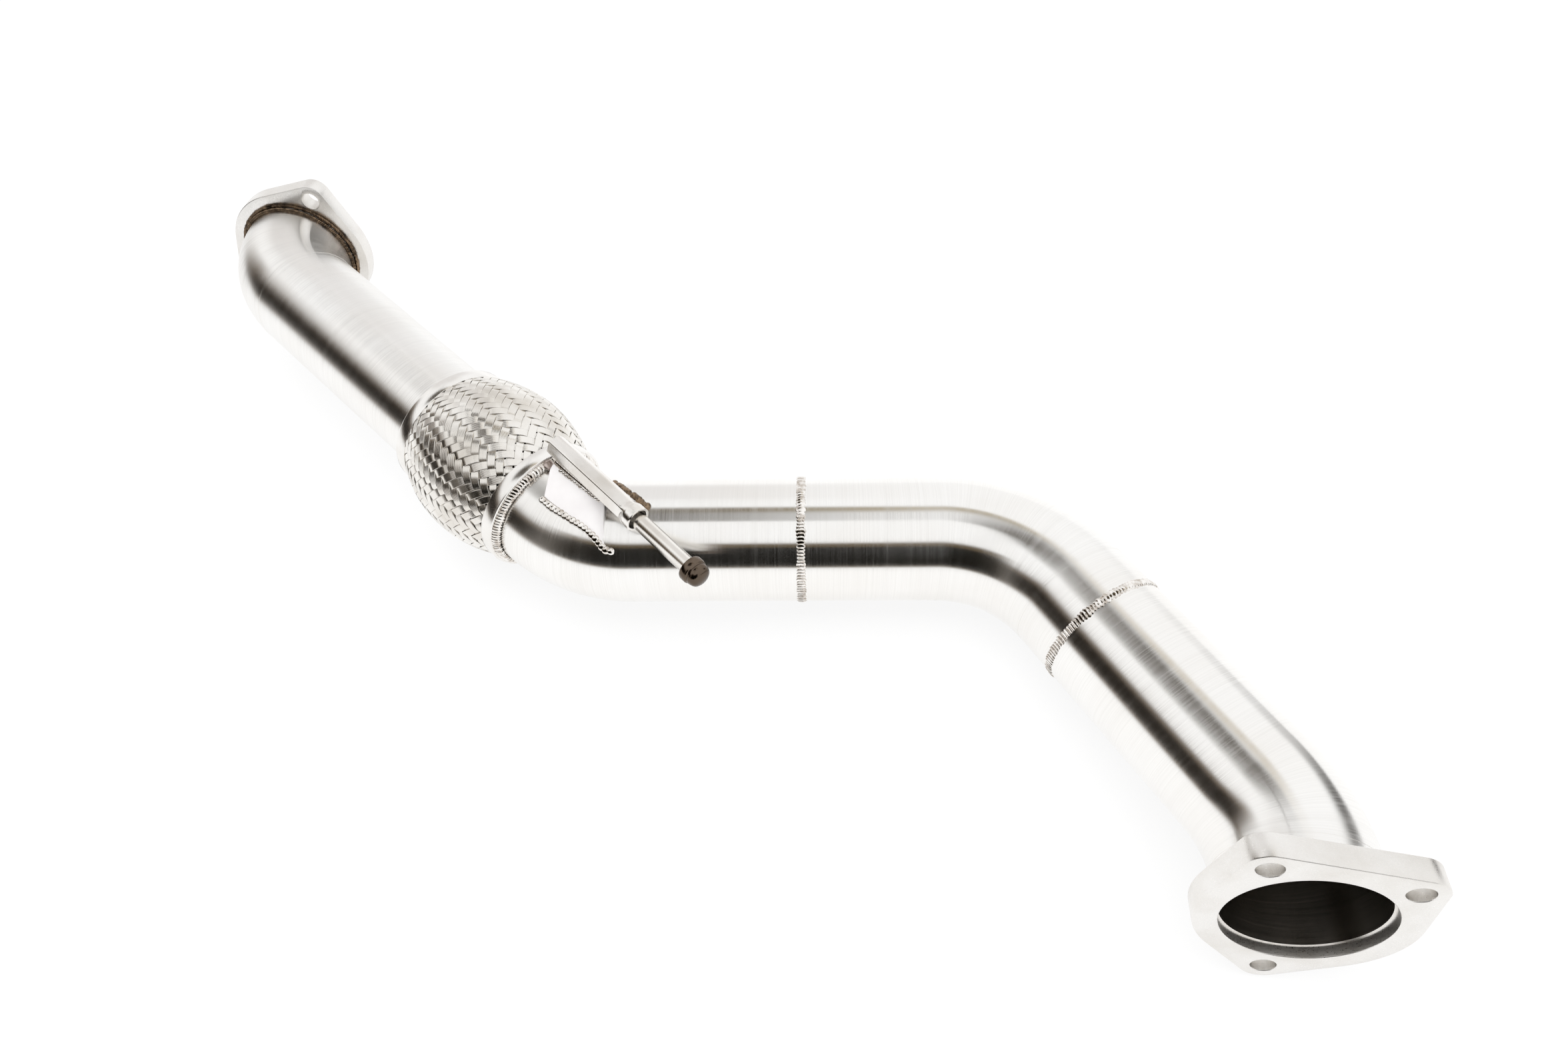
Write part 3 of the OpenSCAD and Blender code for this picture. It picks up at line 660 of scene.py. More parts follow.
def braid_tree(s):
    """Geometry Nodes: one family of strands on a barrel, each over two and under two of the other."""
    tree = bpy.data.node_groups.new("woven_strands", "GeometryNodeTree")
    face = tree.interface
    face.new_socket("Geometry", in_out="INPUT", socket_type="NodeSocketGeometry")
    for name, kind, default in (
            ("Strands", "NodeSocketInt", s.strands), ("Wires", "NodeSocketInt", s.wires),
            ("Steps", "NodeSocketInt", s.steps), ("Lean", "NodeSocketFloat", 1.0),
            ("Start", "NodeSocketFloat", 7.6 * MM), ("Length", "NodeSocketFloat", 80.8 * MM),
            ("Turn Per Metre", "NodeSocketFloat", 1.0), ("End Radius", "NodeSocketFloat", 43.1 * MM),
            ("Rise", "NodeSocketFloat", 9.8 * MM), ("Wave", "NodeSocketFloat", s.wave),
            ("Width", "NodeSocketFloat", 5 * MM), ("Thickness", "NodeSocketFloat", s.thickness),
            ("Material", "NodeSocketMaterial", None)):
        socket = face.new_socket(name, in_out="INPUT", socket_type=kind)
        if default is not None:
            socket.default_value = default
    face.new_socket("Geometry", in_out="OUTPUT", socket_type="NodeSocketGeometry")
    into = put(tree, "NodeGroupInput").outputs

    def calc(operation, *values):
        return put(tree, "ShaderNodeMath", dict(enumerate(values)), operation=operation).outputs[0]

    line = put(tree, "GeometryNodeCurvePrimitiveLine", {"Start": (0, 0, 0), "End": (0, 0, 1)})
    points = put(tree, "GeometryNodeResampleCurve", {"Curve": line.outputs[0], "Count": into["Steps"]},
                 mode="COUNT")
    many = put(tree, "GeometryNodeDuplicateElements", {"Geometry": points.outputs[0],
                                                      "Amount": into["Strands"]}, domain="SPLINE")
    along = put(tree, "GeometryNodeSplineParameter").outputs["Factor"]
    z = calc("MULTIPLY_ADD", along, into["Length"], into["Start"])
    middle = FLEX_LEN / 2 * MM
    from_middle = calc("SUBTRACT", z, middle)
    share = calc("DIVIDE", from_middle, middle - COLLAR_W * MM)
    dome = calc("SUBTRACT", 1.0, calc("MULTIPLY", share, share))
    swell = calc("MULTIPLY", into["Rise"], calc("MAXIMUM", dome, 0.0))
    # past the collar's rim the strands dive into its cuff
    dive = calc("MULTIPLY", calc("MINIMUM", dome, 0.0), 24 * MM)
    barrel = calc("ADD", calc("ADD", into["End Radius"], swell), dive)
    own = calc("DIVIDE", many.outputs["Duplicate Index"], into["Strands"])
    sweep = calc("MULTIPLY", calc("MULTIPLY", from_middle, into["Turn Per Metre"]), into["Lean"])
    angle = calc("MULTIPLY_ADD", own, TAU, sweep)
    # the wave's crests stand in columns along the axis, half as many as the strands
    phase = calc("MULTIPLY", calc("SUBTRACT", angle, math.radians(180 / 38 * 0.5)),
                 calc("MULTIPLY", into["Strands"], 0.5))
    swing = calc("MULTIPLY", calc("COSINE", phase), calc("MULTIPLY", into["Lean"], -1.55))
    held = calc("MINIMUM", calc("MAXIMUM", swing, -1.0), 1.0)
    radius = calc("MULTIPLY_ADD", held, into["Wave"], barrel)
    spot = put(tree, "ShaderNodeCombineXYZ", {
        "X": calc("MULTIPLY", radius, calc("COSINE", angle)),
        "Y": calc("MULTIPLY", radius, calc("SINE", angle)), "Z": z}).outputs[0]
    placed = put(tree, "GeometryNodeSetPosition", {"Geometry": many.outputs[0], "Position": spot})
    # each strand lies flat on the barrel
    tip = calc("MULTIPLY", share, calc("DIVIDE", calc("MULTIPLY", into["Rise"], 2.0), middle - COLLAR_W * MM))
    flat = put(tree, "ShaderNodeCombineXYZ", {"X": calc("COSINE", angle), "Y": calc("SINE", angle), "Z": tip})
    upright = put(tree, "GeometryNodeSetCurveNormal", {"Curve": placed.outputs[0], "Normal": flat.outputs[0]},
                  mode="FREE")
    # profile: a flat strand whose upper side shows its wires, three points to a wire
    top = calc("MULTIPLY", into["Wires"], 3.0)
    ring = put(tree, "GeometryNodeCurvePrimitiveCircle", {"Resolution": calc("ADD", top, 3.0)}, mode="RADIUS")
    index = put(tree, "GeometryNodeInputIndex").outputs[0]
    is_top = calc("LESS_THAN", index, calc("ADD", top, 0.5))
    across = calc("SUBTRACT", calc("DIVIDE", index, top), 0.5)
    first_under = calc("LESS_THAN", index, calc("ADD", top, 1.5))
    under = calc("SUBTRACT", first_under, 0.5)
    width_at = put(tree, "GeometryNodeSwitch", {"Switch": is_top, "False": under, "True": across},
                   input_type="FLOAT").outputs[0]
    groove = calc("MULTIPLY_ADD", calc("COSINE", calc("MULTIPLY", index, TAU / 3)), -0.07, 0.45)
    height_at = put(tree, "GeometryNodeSwitch", {"Switch": is_top, "False": -0.5, "True": groove},
                    input_type="FLOAT").outputs[0]
    side = put(tree, "ShaderNodeCombineXYZ", {
        "X": calc("MULTIPLY", height_at, into["Thickness"]),
        "Y": calc("MULTIPLY", width_at, into["Width"])}).outputs[0]
    profile = put(tree, "GeometryNodeSetPosition", {"Geometry": ring.outputs[0], "Position": side})
    slim = calc("DIVIDE", barrel, calc("ADD", into["End Radius"], into["Rise"]))
    sized = {"Curve": upright.outputs[0], "Profile Curve": profile.outputs[0], "Fill Caps": True}
    mesh = put(tree, "GeometryNodeCurveToMesh")
    if "Scale" in mesh.inputs:
        sized["Scale"] = slim
    for key, value in sized.items():
        if isinstance(value, bpy.types.NodeSocket):
            tree.links.new(value, mesh.inputs[key])
        else:
            mesh.inputs[key].default_value = value
    smooth = put(tree, "GeometryNodeSetShadeSmooth", {"Geometry": mesh.outputs[0]})
    real = put(tree, "GeometryNodeRealizeInstances", {"Geometry": smooth.outputs[0]})
    done = put(tree, "GeometryNodeSetMaterial", {"Geometry": real.outputs[0], "Material": into["Material"]})
    put(tree, "NodeGroupOutput", {"Geometry": done.outputs[0]})
    return tree


def with_nodes(name, tree, place, values, mesh=None):
    """Runs a Geometry Nodes tree on a new object and gives the plain mesh, moved to its place."""
    obj = new_object(name, mesh or bpy.data.meshes.new(name))
    modifier = obj.modifiers.new("build", "NODES")
    modifier.node_group = tree
    sockets = {i.name: i.identifier for i in tree.interface.items_tree
               if i.item_type == "SOCKET" and i.in_out == "INPUT"}
    for key, value in values.items():
        modifier[sockets[key]] = value
    applied(obj)
    obj.data.transform(place)
    return obj


class BRAID_OT_build(bpy.types.Operator):
    """The woven barrel: two families of flat strands, over two and under two"""
    bl_idname = "front_pipe.braid"
    bl_label = "Braid"

    def execute(self, context):
        s = context.scene.front_pipe_braid
        tree = braid_tree(s)
        quarter = TAU / (4 * s.strands)
        per_metre = quarter / (BRAID_LEN * MM / (4 * WEAVE_ROWS))
        spacing = TAU / s.strands * s.widest
        lean = math.atan(per_metre * s.widest)
        width = spacing * math.cos(lean) * s.strand_fill
        place = AT["flex"] @ turn(BRAID_TURN, "Z")
        for name, side in (("braid_strands_right", 1.0), ("braid_strands_left", -1.0)):
            obj = with_nodes(name, tree, place, {
                "Strands": s.strands, "Wires": s.wires, "Steps": s.steps, "Lean": side,
                "Turn Per Metre": per_metre, "Rise": s.widest - 43.1 * MM, "Wave": s.wave, "Width": width,
                "Thickness": s.thickness, "Material": MATERIALS["braid"]})
            finish_piece(obj, "braid_wire", *(("flex_braid",) if side > 0 else ()))
        return {"FINISHED"}


class CollarSettings(bpy.types.PropertyGroup):
    segments: IntProperty(name="Segments", description="Faces round a collar", default=160)


COLLAR_PROFILE = ((TUBE_R, 0.0), (42.9, 0.0), (43.4, 0.12), (43.8, 0.4), (44.0, 0.9), (44.0, 8.4), (43.85, 8.8),
                  (43.5, 9.0), (CUFF_R + 0.4, 9.0), (CUFF_R, 8.6), (CUFF_R, CUFF_FROM), (TUBE_R, CUFF_FROM))


class COLLARS_OT_build(bpy.types.Operator):
    """The two turned collars that hold the braid's ends, and the bellows' finish"""
    bl_idname = "front_pipe.collars"
    bl_label = "Collars"

    def execute(self, context):
        s = context.scene.front_pipe_collars
        far = AT["flex"] @ shift(0, 0, FLEX_LEN) @ Matrix.Scale(-1, 4, (0, 0, 1))
        for node, place in (("flex_inlet_collar", AT["flex"]), ("flex_outlet_collar", far)):
            mesh = lathe(node, COLLAR_PROFILE, place, MATERIALS["collar"], s.segments, sharp=30)
            finish_piece(new_object("turned_" + node, mesh), "collar_steel", node)
        # the corrugated tube that keeps the gas in, under the braid; its dark colour is painted shade, the shade
        # seen through the braid's gaps
        root, rise, start, wall, waves, n = TUBE_R + 0.7, 5.6, 17.0, 0.6, 8, 12
        pitch = (FLEX_LEN - 2 * start) / waves
        wave = [(root + rise * (1 - math.cos(TAU * i / n)) / 2, start + pitch * i / n) for i in range(n * waves + 1)]
        ends = ((TUBE_R, CUFF_FROM), (TUBE_R, start - 4), (root - wall, start - 1))
        inner = [*ends, *((r - wall, z) for r, z in wave), *((r, FLEX_LEN - z) for r, z in ends[::-1])]
        outer = [(TUBE_R + 0.8, FLEX_LEN - CUFF_FROM), (TUBE_R + 0.8, FLEX_LEN - start + 3.5), *wave[::-1],
                 (TUBE_R + 0.8, start - 3.5), (TUBE_R + 0.8, CUFF_FROM)]
        mesh = lathe("flex_bellows", inner + outer, AT["flex"], MATERIALS["bellows"], 96, sharp=50)
        finish_piece(new_object("formed_flex_bellows", mesh), "bellows_steel", "flex_bellows")
        return {"FINISHED"}


# ---- welds
class WeldSettings(bpy.types.PropertyGroup):
    uneven: FloatProperty(name="Unevenness", description="How much the ripples differ in size", default=0.16,
                          subtype="FACTOR")
    seed: IntProperty(name="Seed", description="Fixes the random sizes", default=4)


def weld_tree():
    """Geometry Nodes: overlapping leaned coins of weld metal along a line of points that carry
    an 'out' direction, away from the metal below them."""
    tree = bpy.data.node_groups.new("stacked_ripples", "GeometryNodeTree")
    face = tree.interface
    face.new_socket("Geometry", in_out="INPUT", socket_type="NodeSocketGeometry")
    for name, kind, default in (
            ("Pitch", "NodeSocketFloat", 2.2 * MM), ("Length", "NodeSocketFloat", 1.8 * MM),
            ("Width", "NodeSocketFloat", 2.4 * MM), ("Height", "NodeSocketFloat", 1.2 * MM),
            ("Lean", "NodeSocketFloat", 0.5), ("Skew", "NodeSocketFloat", 0.0),
            ("Unevenness", "NodeSocketFloat", 0.15), ("Seed", "NodeSocketInt", 4),
            ("Material", "NodeSocketMaterial", None)):
        socket = face.new_socket(name, in_out="INPUT", socket_type=kind)
        if default is not None:
            socket.default_value = default
    face.new_socket("Geometry", in_out="OUTPUT", socket_type="NodeSocketGeometry")
    into = put(tree, "NodeGroupInput").outputs
    curve = put(tree, "GeometryNodeMeshToCurve", {"Mesh": into["Geometry"]})
    spaced = put(tree, "GeometryNodeResampleCurve", {"Curve": curve.outputs[0], "Length": into["Pitch"]},
                 mode="LENGTH")
    out = put(tree, "GeometryNodeInputNamedAttribute", {"Name": "out"}, data_type="FLOAT_VECTOR").outputs[0]
    ahead = put(tree, "GeometryNodeInputTangent").outputs[0]
    facing = put(tree, "FunctionNodeAlignRotationToVector", {"Vector": ahead}, axis="X")
    stood = put(tree, "FunctionNodeAlignRotationToVector", {"Rotation": facing.outputs[0], "Vector": out},
                axis="Z", pivot_axis="X")
    tilt = put(tree, "ShaderNodeCombineXYZ", {"Y": into["Lean"], "Z": into["Skew"]})
    leaned = put(tree, "FunctionNodeRotateRotation", {"Rotation": stood.outputs[0], "Rotate By": tilt.outputs[0]},
                 rotation_space="LOCAL")
    low = put(tree, "ShaderNodeMath", {0: 1.0, 1: into["Unevenness"]}, operation="SUBTRACT").outputs[0]
    high = put(tree, "ShaderNodeMath", {0: 1.0, 1: into["Unevenness"]}, operation="ADD").outputs[0]
    uneven = put(tree, "FunctionNodeRandomValue", {"Min": low, "Max": high, "Seed": into["Seed"]},
                 data_type="FLOAT")
    uneven_out = next(o for o in uneven.outputs if o.enabled)
    uneven_in = [i for i in uneven.inputs if i.enabled]
    tree.links.new(low, uneven_in[0])
    tree.links.new(high, uneven_in[1])
    size = put(tree, "ShaderNodeCombineXYZ", {"X": into["Length"], "Y": into["Width"], "Z": into["Height"]})
    scaled = put(tree, "ShaderNodeVectorMath", {0: size.outputs[0], "Scale": uneven_out}, operation="SCALE")
    coin = put(tree, "GeometryNodeMeshUVSphere", {"Segments": 12, "Rings": 8, "Radius": 1.0})
    placed = put(tree, "GeometryNodeInstanceOnPoints", {
        "Points": spaced.outputs[0], "Instance": coin.outputs[0], "Rotation": leaned.outputs[0],
        "Scale": scaled.outputs[0]})
    real = put(tree, "GeometryNodeRealizeInstances", {"Geometry": placed.outputs[0]})
    smooth = put(tree, "GeometryNodeSetShadeSmooth", {"Geometry": real.outputs[0]})
    done = put(tree, "GeometryNodeSetMaterial", {"Geometry": smooth.outputs[0], "Material": into["Material"]})
    put(tree, "NodeGroupOutput", {"Geometry": done.outputs[0]})
    return tree


def line_mesh(name, points, outs, cyclic):
    """A line of points in metres, each with the direction that is out from the metal."""
    n = len(points)
    edges = [(i, i + 1) for i in range(n - 1)] + ([(n - 1, 0)] if cyclic else [])
    mesh = bpy.data.meshes.new(name)
    mesh.from_pydata(points, edges, [])
    attribute = mesh.attributes.new("out", "FLOAT_VECTOR", "POINT")
    attribute.data.foreach_set("vector", [c for o in outs for c in o])
    return mesh


def ring_line(name, place, radius, z, slope=0.0, steps=180):
    """A ring round the tube; slope is how far its outward direction leans to +z, in degrees."""
    turn_only = place.to_3x3()
    points, outs = [], []
    for k in range(steps):
        a = TAU * k / steps
        e = math.radians(slope)
        points.append(place @ Vector((radius * MM * math.cos(a), radius * MM * math.sin(a), z * MM)))
        outs.append(turn_only @ Vector((math.cos(a) * math.cos(e), math.sin(a) * math.cos(e), math.sin(e))))
    return line_mesh(name, points, outs, True)


# name, CAD node it stands for, place, rows of (radius, z, slope, pitch, length, width, height, lean, skew), finish
RING_WELDS = (
    ("coupling_weld", "flex_outlet_weld", "flex_end",
     ((40.5, 1.3, 40, 2.1, 2.1, 2.9, 1.2, 0.42, 0.0),), "weld", "weld_grey"),
    ("middle_ring_weld", "middle_weld", "middle", ((37.9, 0.0, 0, 2.2, 2.1, 2.9, 0.62, 0.36, 0.0),), "weld",
     "weld_grey"),
    ("outlet_ring_weld", "outlet_weld", "outlet", ((37.9, 0.0, 0, 2.2, 2.1, 2.9, 0.62, 0.36, 0.0),), "weld",
     "weld_grey"),
    ("inlet_flange_rope_weld", "inlet_flange_weld", "inlet",
     ((40.9, 13.2, 10, 1.25, 0.75, 1.55, 1.5, 0.1, 0.6), (39.3, 15.6, 10, 1.25, 0.75, 1.45, 1.3, 0.1, -0.6)),
     "weld_bronze", "weld_bronze"),
    ("outlet_flange_rope_weld", "outlet_flange_weld", "face",
     ((39.4, -13.0, -20, 1.7, 1.3, 1.9, 1.5, 0.4, 0.0),), "weld_bronze", "weld_bronze"),
)


# name, CAD node, how its points are given, lines of (points, pitch, length, width, height, lean, skew,
# unevenness), finish: points are (degrees of bend, degrees round, height) or millimetres by the sleeve
SHORT_WELDS = (
    ("near_foot_weld", "bracket_near_weld", "elbow",
     ((((9.2, 15.8, 0.0), (14.1, 17.9, 0.1), (18.1, 19.1, 0.1), (22.7, 21.6, 0.1), (26.4, 24.0, 0.1),
        (29.5, 27.5, 0.1), (32.2, 32.3, 0.1), (34.0, 37.0, 0.1), (36.0, 41.8, 0.2), (38.0, 43.0, 0.1)),
       2.9, 2.5, 2.3, 0.95, 0.38, 0.25, 0.12),), "weld", "weld_grey"),
    ("far_foot_weld", "bracket_far_weld", "elbow",
     ((((33.6, -28.8, 0.4), (40.3, -17.8, 0.5), (44.1, -11.2, 0.5), (47.6, -4.2, 0.5), (50.8, 2.0, 0.3)),
       2.2, 1.9, 2.2, 1.5, 0.5, 0.3, 0.35),), "weld_bronze", "weld_bronze"),
    ("sleeve_side_weld", "sleeve_weld", "sleeve",
     ((((-6.0, 6.4, 7.5), (-6.1, 6.2, 18.0), (-6.3, 5.5, 34.0)), 2.2, 3.2, 1.9, 0.8, 0.05, 0.0, 0.06),
      (((-7.0, 7.6, 13.0), (-6.9, 6.6, 28.0), (-6.6, 5.2, 46.5)), 2.4, 1.7, 1.2, 0.8, 0.5, 0.3, 0.2)),
     "weld", "weld_grey"),
)


def joined(name, parts, slot, node):
    """One piece from several plain meshes."""
    bm = bmesh.new()
    for part in parts:
        bm.from_mesh(part.data)
    mesh = bpy.data.meshes.new(name)
    bm.to_mesh(mesh)
    bm.free()
    mesh.materials.append(next(m for m in parts[0].data.materials if m))
    mesh.polygons.foreach_set("material_index", [0] * len(mesh.polygons))
    for part in parts:
        bpy.data.objects.remove(part)
    finish_piece(new_object(name, mesh), slot, node)


class WELDS_OT_build(bpy.types.Operator):
    """Ring welds round the tubes and the short welds of the hanger"""
    bl_idname = "front_pipe.welds"
    bl_label = "Welds"

    def execute(self, context):
        s = context.scene.front_pipe_welds
        tree = weld_tree()
        for name, node, place, rows, finish, slot in RING_WELDS:
            rings = []
            for i, (radius, z, slope, pitch, length, width, height, lean, skew) in enumerate(rows):
                line = ring_line(f"{name}_{i}", AT[place], radius, z, slope)
                rings.append(with_nodes(f"{name}_{i}", tree, Matrix.Identity(4), {
                    "Pitch": pitch * MM, "Length": length * MM, "Width": width * MM, "Height": height * MM,
                    "Lean": lean, "Skew": skew, "Unevenness": s.uneven, "Seed": s.seed + i,
                    "Material": MATERIALS[finish]}, line))
            joined(name, rings, slot, node)
        for name, node, kind, lines, finish, slot in SHORT_WELDS:
            rows = []
            for i, (points, pitch, length, width, height, lean, skew, uneven) in enumerate(lines):
                if kind == "elbow":
                    spots, outs = zip(*(on_elbow(*p) for p in through(points, 6)))
                else:
                    spots = [AT["hanger"] @ (Vector(p) * MM) for p in through(points, 6)]
                    outs = [AT["hanger"].to_3x3() @ Vector((0.5, 0.87, 0.0))] * len(spots)
                line = line_mesh(f"{name}_{i}", spots, outs, False)
                rows.append(with_nodes(f"{name}_{i}", tree, Matrix.Identity(4), {
                    "Pitch": pitch * MM, "Length": length * MM, "Width": width * MM, "Height": height * MM,
                    "Lean": lean, "Skew": skew, "Unevenness": uneven, "Seed": s.seed + 7 + i,
                    "Material": MATERIALS[finish]}, line))
            joined(name, rows, slot, node)
        # the round cap of weld where the sleeve starts, beside the collar
        place = AT["flex_end"] @ turn(-12, "Z") @ shift(41.0, 0, 2.6) @ turn(58, "Y")
        cap = ((0, -1.5), (2.6, -1.2), (3.3, 0.0), (3.1, 0.7), (2.7, 1.0), (1.8, 1.25), (0.9, 1.35), (0, 1.4))
        finish_piece(new_object("weld_cap", lathe("weld_cap", cap, place, MATERIALS["weld_flat"], 40, sharp=60)),
                     "weld_grey")
        return {"FINISHED"}


# ---- hanger
class HangerSettings(bpy.types.PropertyGroup):
    rod_r: FloatProperty(name="Rod radius", description="Radius of the hanger rod", default=0.005, unit="LENGTH")
    flats: FloatProperty(name="Flats", description="Width across the flats of the sleeve", default=0.0124,
                         unit="LENGTH")
    sheet: FloatProperty(name="Sheet", description="Thickness of the folded bracket", default=0.002,
                         unit="LENGTH")
    fold: FloatProperty(name="Fold", description="How far a fold's rounding reaches", default=0.0016,
                        unit="LENGTH")
    edge: FloatProperty(name="Sheet edge", description="Rounding of the bracket's cut edges", default=0.00022,
                        unit="LENGTH")
    mouth_r: FloatProperty(name="Mouth radius", description="Radius of the sleeve's open mouth",
                           default=0.00775, unit="LENGTH")


SLEEVE_LEN, ROD_OUT = 78.0, 44.0
RIDGE_HALF, RIDGE_FROM, RIDGE_LEN, SHIN, CORNER_DROP = 3.5, 4.0, 44.46, 0.33, 2.8
# both feet along the elbow in degrees of bend and round the tube, and the share of the ridge they face
BRACKET = ((8.6, 12.4, 17.1, -45.2, 0.0), (14.8, 14.9, 25.8, -37.2, 0.2), (19.2, 17.3, 31.4, -30.6, 0.34),
           (27.3, 23.2, 40.4, -16.6, 0.62), (32.0, 30.2, 45.1, -6.8, 0.81), (34.3, 37.5, 47.9, -0.4, 0.93),
           (35.9, 41.4, 49.5, 3.3, 1.0))


def folded(points, radius, steps):
    """A folded strip's section: each inner corner is rounded, and each flat divided."""
    out = [points[0]]
    for before, corner, after in zip(points, points[1:], points[2:]):
        back, on = before - corner, after - corner
        start = corner + back * min(radius / back.length, 0.42)
        end = corner + on * min(radius / on.length, 0.42)
        out += [out[-1].lerp(start, t / 4) for t in (1, 2, 3)]
        out += [start.lerp(corner, t / steps).lerp(corner.lerp(end, t / steps), t / steps) for t in range(steps + 1)]
    return out + [out[-1].lerp(points[-1], t / 4) for t in (1, 2, 3, 4)]


class HANGER_OT_build(bpy.types.Operator):
    """Hanger rod, crimped sleeve and the folded bracket under it"""
    bl_idname = "front_pipe.hanger"
    bl_label = "Hanger"

    def execute(self, context):
        s = context.scene.front_pipe_hanger
        r, z = s.rod_r / MM, SLEEVE_LEN + ROD_OUT
        shaft = ((0, 1), (r - 0.6, 1), (r, 1.6), (r, z - 0.6), (r + 0.5, z), (r + 0.5, z + 0.3), (0, z + 0.3))
        mesh = lathe("rod_shaft", shaft, AT["hanger"], MATERIALS["rod"], 64, sharp=40)
        finish_piece(new_object("drawn_hanger_rod", mesh), "rod_steel", "hanger_rod")
        head = ((0, z), (r + 1.6, z), (r + 2.4, z + 0.35), (r + 2.8, z + 1.2), (r + 2.8, z + 4.6),
                (r + 2.5, z + 5.3), (r + 2.0, z + 5.6), (r + 1.7, z + 6.0), (r + 2.0, z + 6.6), (r + 2.0, z + 7.4),
                (r + 1.5, z + 9.4), (r + 0.9, z + 10.5), (r - 0.4, z + 11.4), (r - 2.4, z + 11.9), (0, z + 12.1))
        mesh = lathe("rod_head", head, AT["hanger"], MATERIALS["head"], 64, sharp=28)
        finish_piece(new_object("turned_rod_head", mesh), "rod_steel")
        mesh = self.sleeve(s)
        finish_piece(new_object("crimped_hanger_sleeve", mesh), "collar_steel", "hanger_sleeve")
        finish_piece(new_object("folded_hanger_bracket", self.bracket(s)), "collar_steel", "hanger_bracket")
        return {"FINISHED"}

    def bracket(self, s):
        """One cut sheet folded twice on each side of the ridge that carries the sleeve."""
        hang, half, ridge_x = AT["hanger"], s.sheet / 2, -s.flats / 2 - s.sheet / 2

        def by_sleeve(y, z, x=ridge_x):
            return hang @ Vector((x, y, z * MM))

        rows = []
        for i, (near_bend, near_side, far_bend, far_side, share) in enumerate(through(BRACKET, 6)):
            z = RIDGE_FROM + RIDGE_LEN * share
            a, b = by_sleeve(RIDGE_HALF * MM, z), by_sleeve(-RIDGE_HALF * MM, z)
            p, q = on_elbow(near_bend, near_side, -0.7)[0], on_elbow(far_bend, far_side, -0.9)[0]
            corner = hang.to_3x3() @ Vector((0, 0, -CORNER_DROP * MM)) * max(0.0, 1 - i / 6)
            rows.append(folded([p, a + (p - a) * SHIN + corner, a, b, b + (q - b) * SHIN, q], s.fold, 6))
        last, rings = len(rows) - 1, []
        for i, row in enumerate(rows):
            outer, inner = [], []
            for j, point in enumerate(row):
                u = rows[min(i + 1, last)][j] - rows[max(i - 1, 0)][j]
                v = row[min(j + 1, len(row) - 1)] - row[max(j - 1, 0)]
                out = u.cross(v).normalized() * half
                outer.append(point + out)
                inner.append(point - out)
            rings.append(outer + inner[::-1])
        mesh = rings_to_mesh("bracket", rings, MATERIALS["bracket"], False, 50)
        n, m = len(rings[0]), len(rows[0])
        bm = bmesh.new()
        bm.from_mesh(mesh)
        bm.verts.ensure_lookup_table()
        for start in (0, n * last):
            for j in range(m - 1):
                bm.faces.new([bm.verts[start + k] for k in (j, j + 1, n - 2 - j, n - 1 - j)])
        bmesh.ops.recalc_face_normals(bm, faces=bm.faces)
        rim = [e for e in bm.edges if len(e.link_faces) == 2 and e.calc_face_angle() > math.radians(55)]
        bmesh.ops.bevel(bm, geom=rim, offset=s.edge, segments=2, affect="EDGES", profile=0.5)
        bm.to_mesh(mesh)
        bm.free()
        for face in mesh.polygons:
            face.use_smooth = True
        mesh.set_sharp_from_angle(angle=math.radians(32))
        return mesh

    def sleeve(self, s):
        """A loft from a rounded hexagon to the round mouth, with the mouth's open annulus."""
        n, af, mouth = 96, s.flats / MM / 2, s.mouth_r / MM

        def section(z, blend, r, corner):
            ring = []
            for k in range(n):
                a = TAU * k / n
                to_flat = (a + math.pi / 6) % (math.pi / 3) - math.pi / 6
                hexagon = min(af / math.cos(to_flat), af * corner)
                radius = hexagon * (1 - blend) + r * blend
                ring.append(AT["hanger"] @ Vector((radius * MM * math.cos(a), radius * MM * math.sin(a), z * MM)))
            return ring

        def circle(z, r):
            return section(z, 1.0, r, 1.0)

        rings = [section(0.0, 0.12, af, 1.1), section(0.4, 0.0, af, 1.13)]
        rings += [section(z, 0.0, af, 1.13) for z in (20, 40, 60, 66)]
        for i in range(1, 13):
            t = i / 12
            ease = t * t * (3 - 2 * t)
            rings.append(section(66 + 7 * t, ease, af + (mouth - af) * ease, 1.13))
        rings += [circle(SLEEVE_LEN - 0.3, mouth), circle(SLEEVE_LEN, mouth - 0.3), circle(SLEEVE_LEN, mouth - 1.2),
                  circle(SLEEVE_LEN - 0.3, mouth - 1.5), circle(SLEEVE_LEN - 9, mouth - 1.6),
                  circle(SLEEVE_LEN - 9, s.rod_r / MM + 0.02), circle(0.0, s.rod_r / MM + 0.02)]
        return rings_to_mesh("sleeve", rings, MATERIALS["sleeve"], True, 28)


class FRONTPIPE_PT_panel(bpy.types.Panel):
    """Buttons and sizes of the front pipe"""
    bl_label = "Front pipe"
    bl_idname = "FRONTPIPE_PT_panel"
    bl_space_type = "VIEW_3D"
    bl_region_type = "UI"
    bl_category = "Front pipe"

    def draw(self, context):
        for key, group, operator in GROUPS:
            box = self.layout.box()
            box.operator(operator.bl_idname)
            settings = getattr(context.scene, key)
            for name in group.__annotations__:
                box.prop(settings, name)


GROUPS = (
    ("front_pipe_stage", StageSettings, STAGE_OT_build),
    ("front_pipe_tubes", TubeSettings, TUBES_OT_build),
    ("front_pipe_flanges", FlangeSettings, FLANGES_OT_build),
    ("front_pipe_collars", CollarSettings, COLLARS_OT_build),
    ("front_pipe_braid", BraidSettings, BRAID_OT_build),
    ("front_pipe_welds", WeldSettings, WELDS_OT_build),
    ("front_pipe_hanger", HangerSettings, HANGER_OT_build),
)


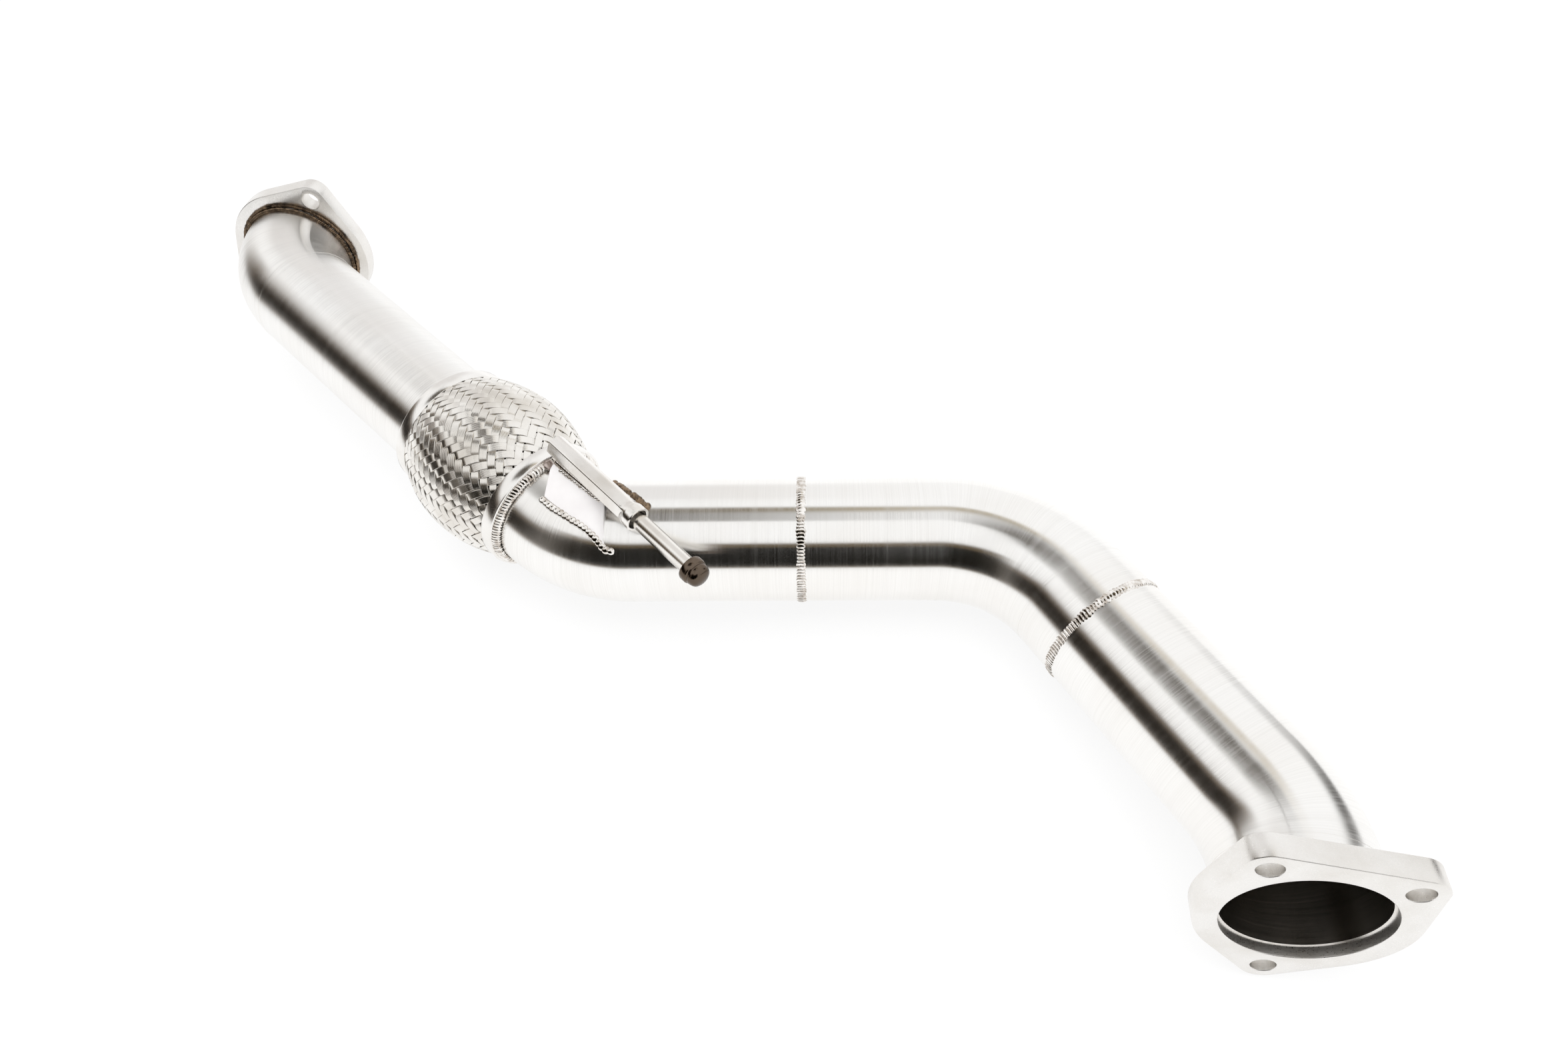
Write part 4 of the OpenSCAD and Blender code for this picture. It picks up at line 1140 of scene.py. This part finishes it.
def register():
    for key, group, operator in GROUPS:
        bpy.utils.register_class(group)
        bpy.utils.register_class(operator)
        setattr(bpy.types.Scene, key, PointerProperty(type=group))
    bpy.utils.register_class(FRONTPIPE_PT_panel)


def unregister():
    bpy.utils.unregister_class(FRONTPIPE_PT_panel)
    for key, group, operator in reversed(GROUPS):
        delattr(bpy.types.Scene, key)
        bpy.utils.unregister_class(operator)
        bpy.utils.unregister_class(group)


def main():
    register()
    make_materials()
    for _, _, operator in GROUPS:
        category, name = operator.bl_idname.split(".")
        getattr(getattr(bpy.ops, category), name)()


if __name__ == "__main__":
    main()
